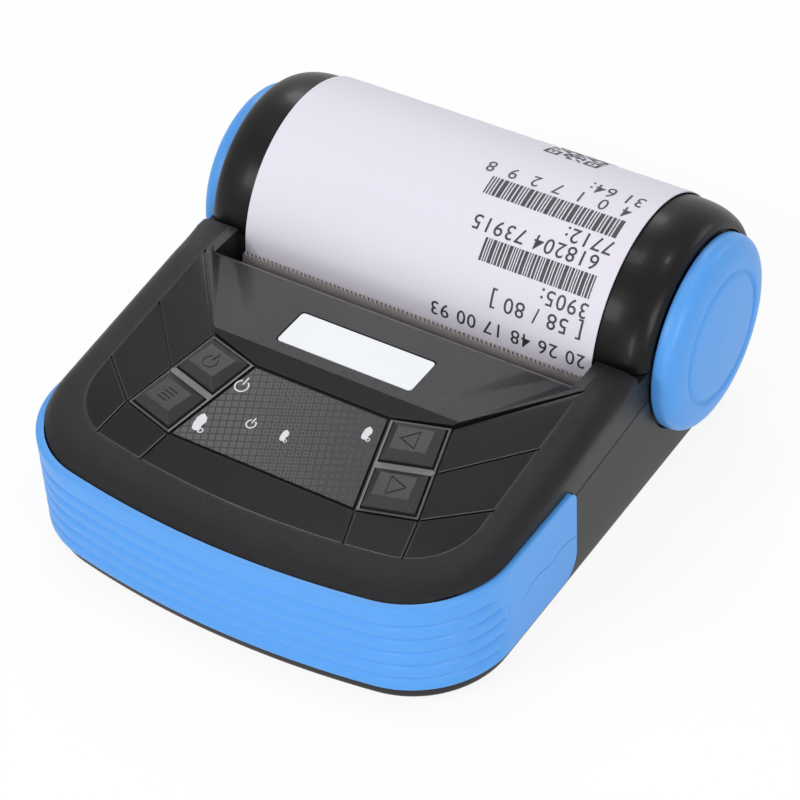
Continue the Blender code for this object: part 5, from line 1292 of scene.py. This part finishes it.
def on_sheet(x, along, lift):
    """A point on the sheet, by its distance along the arc from the slot end."""
    angle = math.radians(SHEET_START) - along / SHEET_RADIUS
    radius = SHEET_RADIUS + lift
    return (x, DRUM[0] + radius * math.cos(angle), DRUM[1] + radius * math.sin(angle))


length = math.radians(SHEET_START - SHEET_END) * SHEET_RADIUS
foot = (PLATEN[0] - 5.55, PLATEN[1] + 2.1)
rings = []
for column in range(SHEET_COLUMNS + 1):
    x = -PAPER_HALF + 2 * PAPER_HALF * column / SHEET_COLUMNS
    under, over = [(x, *foot)], [(x, foot[0] - PAPER_THICK, foot[1])]
    for row in range(SHEET_ROWS + 1):
        along = length * row / SHEET_ROWS
        under.append(on_sheet(x, along, 0.0))
        over.append(on_sheet(x, along, PAPER_THICK))
    rings.append(under + over[::-1])
sheet = loft("receipt", rings, 50)
fit(sheet, papered("receipt paper", paper_white), "cover", "receipt_paper", "receipt_strip")

INK_LIFT = PAPER_THICK + 0.045
PATCH_LENGTH = 0.6
CUT_LINES = (-0.1, 0.05, 0.2, 0.35, 0.5, 0.65)  # where figures are cut across, so that they bend with the sheet
FIGURE_HEIGHT = 0.7
BAR_WIDTHS = (2, 1, 1, 3, 1, 2, 2, 1, 3, 1, 1, 1, 2, 3, 1, 1, 2, 2, 1, 1, 3, 2, 1, 2, 1, 1, 3, 1, 2, 1, 1, 2)
BAR_WIDTHS += (3, 1, 2, 1)
print_points, print_faces = [], []


def printed_patch(x0, x1, along0, along1):
    """One inked patch on the sheet, in strips that follow its bend."""
    steps = max(1, round((along1 - along0) / PATCH_LENGTH))
    start = len(print_points)
    for row in range(steps + 1):
        along = along0 + (along1 - along0) * row / steps
        print_points.extend((on_sheet(x0, along, INK_LIFT), on_sheet(x1, along, INK_LIFT)))
    for row in range(steps):
        a = start + 2 * row
        print_faces.append((a, a + 1, a + 3, a + 2))


def bar_block(x0, x1, along0, along1, shift):
    """A block of upright bars between two edges."""
    units = sum(BAR_WIDTHS) + len(BAR_WIDTHS)
    unit = (x1 - x0) / units
    x = x0
    for step in range(len(BAR_WIDTHS)):
        width = BAR_WIDTHS[(step + shift) % len(BAR_WIDTHS)]
        printed_patch(x, x + width * unit, along0, along1)
        x += (width + 1) * unit


def printed_number(text, x_right, along, height):
    """A row of figures in the built-in face, upside down to someone in front, as the sheet comes out."""
    curve = bpy.data.curves.new("figures", "FONT")
    curve.body, curve.size = text, 1.0
    curve.space_character, curve.offset = 1.12, 0.003
    made = put("figures", curve)
    graph = bpy.context.evaluated_depsgraph_get()
    mesh = bmesh.new()
    mesh.from_mesh(bpy.data.meshes.new_from_object(made.evaluated_get(graph)))
    for line in CUT_LINES:
        everything = mesh.verts[:] + mesh.edges[:] + mesh.faces[:]
        bmesh.ops.bisect_plane(mesh, geom=everything, plane_co=(0, line, 0), plane_no=(0, 1, 0))
    mesh.verts.index_update()
    start = len(print_points)
    scale = height / FIGURE_HEIGHT
    for vertex in mesh.verts:
        print_points.append(on_sheet(x_right - vertex.co.x * scale, along - vertex.co.y * scale, INK_LIFT))
    print_faces.extend(tuple(start + vertex.index for vertex in face.verts) for face in mesh.faces)
    mesh.free()
    bpy.data.objects.remove(made)


def square_block(x0, x1, along0, along1, cells=19):
    """A block of small squares, dark by a fixed sum, with a square at three of its corners."""
    width, tall = (x1 - x0) / cells, (along1 - along0) / cells
    for column in range(cells):
        for row in range(cells):
            ring = max(abs(column % (cells - 5) - 2), abs(row % (cells - 5) - 2))
            ends = (column < 6 or column > cells - 7) and (row < 6 or row > cells - 7)
            if ends and (column < 6 or row < 6):
                dark = ring in (0, 2)
            else:
                dark = (column * 7 + row * 11 + column * row * 5 + row * row * 3) % 9 < 4
            if dark:
                x, along = x0 + column * width, along0 + row * tall
                printed_patch(x, x + width, along, along + tall)


printed_number("20 26 48 17 00 93", 38.5, 4.8, 2.9)
printed_number("[ 58 / 80 ]", 37.0, 10.6, 3.1)
printed_number("3905:", 37.0, 14.7, 3.0)
bar_block(12.0, 36.5, 15.6, 20.2, 0)
printed_number("618204 73915", 35.5, 23.9, 3.0)
printed_number("7712:", 37.0, 27.5, 3.0)
bar_block(7.0, 36.5, 28.3, 32.6, 9)
printed_number("4  0  1  7  2  9  8", 36.0, 36.1, 2.8)
printed_number("31 64:", 37.0, 39.9, 3.0)
square_block(10.5, 22.5, 45.5, 56.0)

mesh = bpy.data.meshes.new("receipt_print")
mesh.from_pydata([tuple(value * MM for value in point) for point in print_points], [], print_faces)
receipt_print = put("receipt_print", mesh)
thermal_ink = moulded("thermal print", (0.025, 0.022, 0.03), 0.55, grain=5.0, depth=0.004, spread=0.2)
fit(receipt_print, thermal_ink, "cover", "receipt_paper")

# ---------------------------------------------------------------------------------------------------------
# Side discs. Blue caps on stems, one each side of the drum: a wide rounded edge, a shallow ring groove and a
# dished middle. Each is pushed in against its spring to free the cover.
DISC_REAR = 50.2
DISC_THICK = 5.4
STEM_END = 44.7
DOME = ((0.06, 1.0), (0.3, 1.0), (0.42, 0.995), (0.52, 0.982), (0.61, 0.96), (0.69, 0.93), (0.76, 0.89))
DOME += ((0.82, 0.845), (0.86, 0.8), (0.885, 0.765), (0.9, 0.73), (0.9, 0.715), (0.885, 0.705), (0.83, 0.695))
DOME += ((0.8, 0.683), (0.805, 0.67), (0.86, 0.65), (0.9, 0.63), (0.917, 0.6), (0.935, 0.48), (0.955, 0.34))
DOME += ((0.98, 0.18), (1.0, 0.001))  # shares of the thickness and of the radius, from the edge to the middle
for side, word in ((-1, "left"), (1, "right")):
    section = [(STEM_END, 0.001), (STEM_END, STEM_RADIUS), (DISC_REAR, STEM_RADIUS)]
    section += [(DISC_REAR, DISC_RADIUS - GAP), (DISC_REAR + 0.1, DISC_RADIUS - 0.05)]
    section += [(DISC_REAR + DISC_THICK * x, DISC_RADIUS * r) for x, r in DOME]
    if side == -1:
        section = [(-x, radius) for x, radius in reversed(section)]
    disc = turned(f"disc_cap_{word}", section, DRUM, 160, 45)
    fit(disc, blue_plastic, f"disc_{word}", "blue_plastic", f"release_disc_{word}")

# ---------------------------------------------------------------------------------------------------------
# Disc springs. A cone of round steel wire lies round the stem of each disc. Its two turns nest in one another
# as the disc goes in.
SPRING_WIRE = 0.5
SPRING_LARGE = 7.0
SPRING_SMALL = STEM_RADIUS + 4 * GAP
SPRING_STEPS = 120
SPRING_TURNS = 2
for side, word in ((-1, "left"), (1, "right")):
    near, far = POCKET_X + GAP + SPRING_WIRE / 2, DISC_REAR - GAP - SPRING_WIRE / 2
    rings = []
    for step in range(SPRING_STEPS + 1):
        share = step / SPRING_STEPS
        angle = 2 * math.pi * SPRING_TURNS * share
        wire = circle((SPRING_LARGE + (SPRING_SMALL - SPRING_LARGE) * share, 0.0), SPRING_WIRE / 2, 12)
        ring = []
        for radius, over in wire:
            x = side * (near + (far - near) * share + over)
            ring.append((x, DRUM[0] + radius * math.cos(angle), DRUM[1] + radius * math.sin(angle)))
        rings.append(ring)
    spring = loft(f"disc_coil_{word}", rings)
    fit(spring, spring_steel, "body", "spring_steel", f"disc_spring_{word}")
    anchor = (side * POCKET_X * MM, DRUM[0] * MM, DRUM[1] * MM)
    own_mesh(spring)

# ---------------------------------------------------------------------------------------------------------
# Studio. A pale floor under a plain white surround, seven soft lamps round the printer, of which the key lamp
# at the front left and the side lamp at the right are the strongest, and the camera of the photograph.
SEEN_FLOOR = 0.88
ROOM_LIGHT = 0.34


def seen(finish):
    """1 where a ray from the camera, a reflection or a clear thing looks at the surface, and 0 for its light."""
    path = finish.add("ShaderNodeLightPath", {}, {})
    return path["Is Camera Ray"].larger(path["Is Glossy Ray"]).larger(path["Is Transmission Ray"])


class Surround(Finish):
    """The world's nodes, added as a material's are."""

    def __init__(self, world):
        world.use_nodes = True
        self.tree = world.node_tree
        self.tree.nodes.clear()


mesh = bpy.data.meshes.new("floor")
mesh.from_pydata([(-6, -6, 0), (6, -6, 0), (6, 6, 0), (-6, 6, 0)], [], [(0, 1, 2, 3)])
floor = put("floor", mesh)
floor_white = Finish("floor white", Roughness=0.9, Specular_IOR_Level=0.1)
floor_white.feed(Base_Color=floor_white.mix(floor_white.noise(0.004), (0.9, 0.9, 0.9), (0.92, 0.92, 0.92)))
bright = floor_white.add("ShaderNodeEmission", {}, {"Color": (1.0, 1.0, 1.0), "Strength": 1.0})[0]
lit = Value(floor_white, floor_white.shader.outputs[0])
blend = floor_white.add("ShaderNodeMixShader", {}, {0: seen(floor_white) * SEEN_FLOOR, 1: lit, 2: bright})[0]
floor_white.set(floor_white.tree.nodes["Material Output"].inputs["Surface"], blend)
mesh.materials.append(floor_white.material)

world = bpy.data.worlds.new("studio")
bpy.context.scene.world = world
surround = Surround(world)
room, backdrop = (
    surround.add("ShaderNodeBackground", {}, {"Color": (1.0, 1.0, 1.0), "Strength": strength})[0]
    for strength in (ROOM_LIGHT, 1.0)
)
choice = surround.add("ShaderNodeMixShader", {}, {0: seen(surround), 1: room, 2: backdrop})[0]
surround.add("ShaderNodeOutputWorld", {}, {"Surface": choice})


def lamp(name, place, aim, size, power):
    light = bpy.data.lights.new(name, "AREA")
    light.shape = "RECTANGLE"
    light.size, light.size_y = size
    light.energy = power
    made = put(name, light)
    made.location = place
    made.rotation_euler = (Vector(aim) - Vector(place)).to_track_quat("-Z", "Y").to_euler()


lamp("key lamp", (-0.36, -0.66, 0.5), (0.0, 0.0, 0.02), (0.34, 0.26), 3.0)
lamp("side lamp", (0.78, -0.42, 0.36), (0.0, 0.0, 0.03), (0.36, 0.36), 3.4)
lamp("front strip", (0.22, -0.9, 0.15), (0.0, 0.0, 0.03), (0.09, 0.28), 1.4)
lamp("top lamp", (-0.28, -0.02, 0.92), (0.0, 0.0, 0.02), (0.2, 0.16), 1.1)
lamp("corner lamp", (0.26, 0.1, 0.93), (0.0, 0.0, 0.02), (0.1, 0.1), 1.0)
lamp("back lamp", (-0.39, 0.58, 0.62), (0.0, -0.01, 0.03), (0.3, 0.22), 2.2)
lamp("shoulder lamp", (0.52, 0.7, 0.32), (0.0, 0.02, 0.03), (0.34, 0.3), 1.0)

CAMERA_PLACE = (237.0, -336.1, 379.2)
CAMERA_ROUND, CAMERA_HEIGHT, CAMERA_ROLL = (math.radians(angle) for angle in (34.77, 41.61, -3.45))
lens = bpy.data.cameras.new("camera")
lens.sensor_width = 36.0
lens.lens = 126.3
lens.clip_start = 0.01
camera = put("camera", lens)
level = math.cos(CAMERA_HEIGHT)
back = Vector((math.sin(CAMERA_ROUND) * level, -math.cos(CAMERA_ROUND) * level, math.sin(CAMERA_HEIGHT)))
camera.location = Vector(CAMERA_PLACE) * MM
camera.rotation_euler = (back.to_track_quat("Z", "Y") @ Quaternion((0.0, 0.0, 1.0), CAMERA_ROLL)).to_euler()
bpy.context.scene.camera = camera
bpy.context.scene.view_settings.view_transform = "Standard"
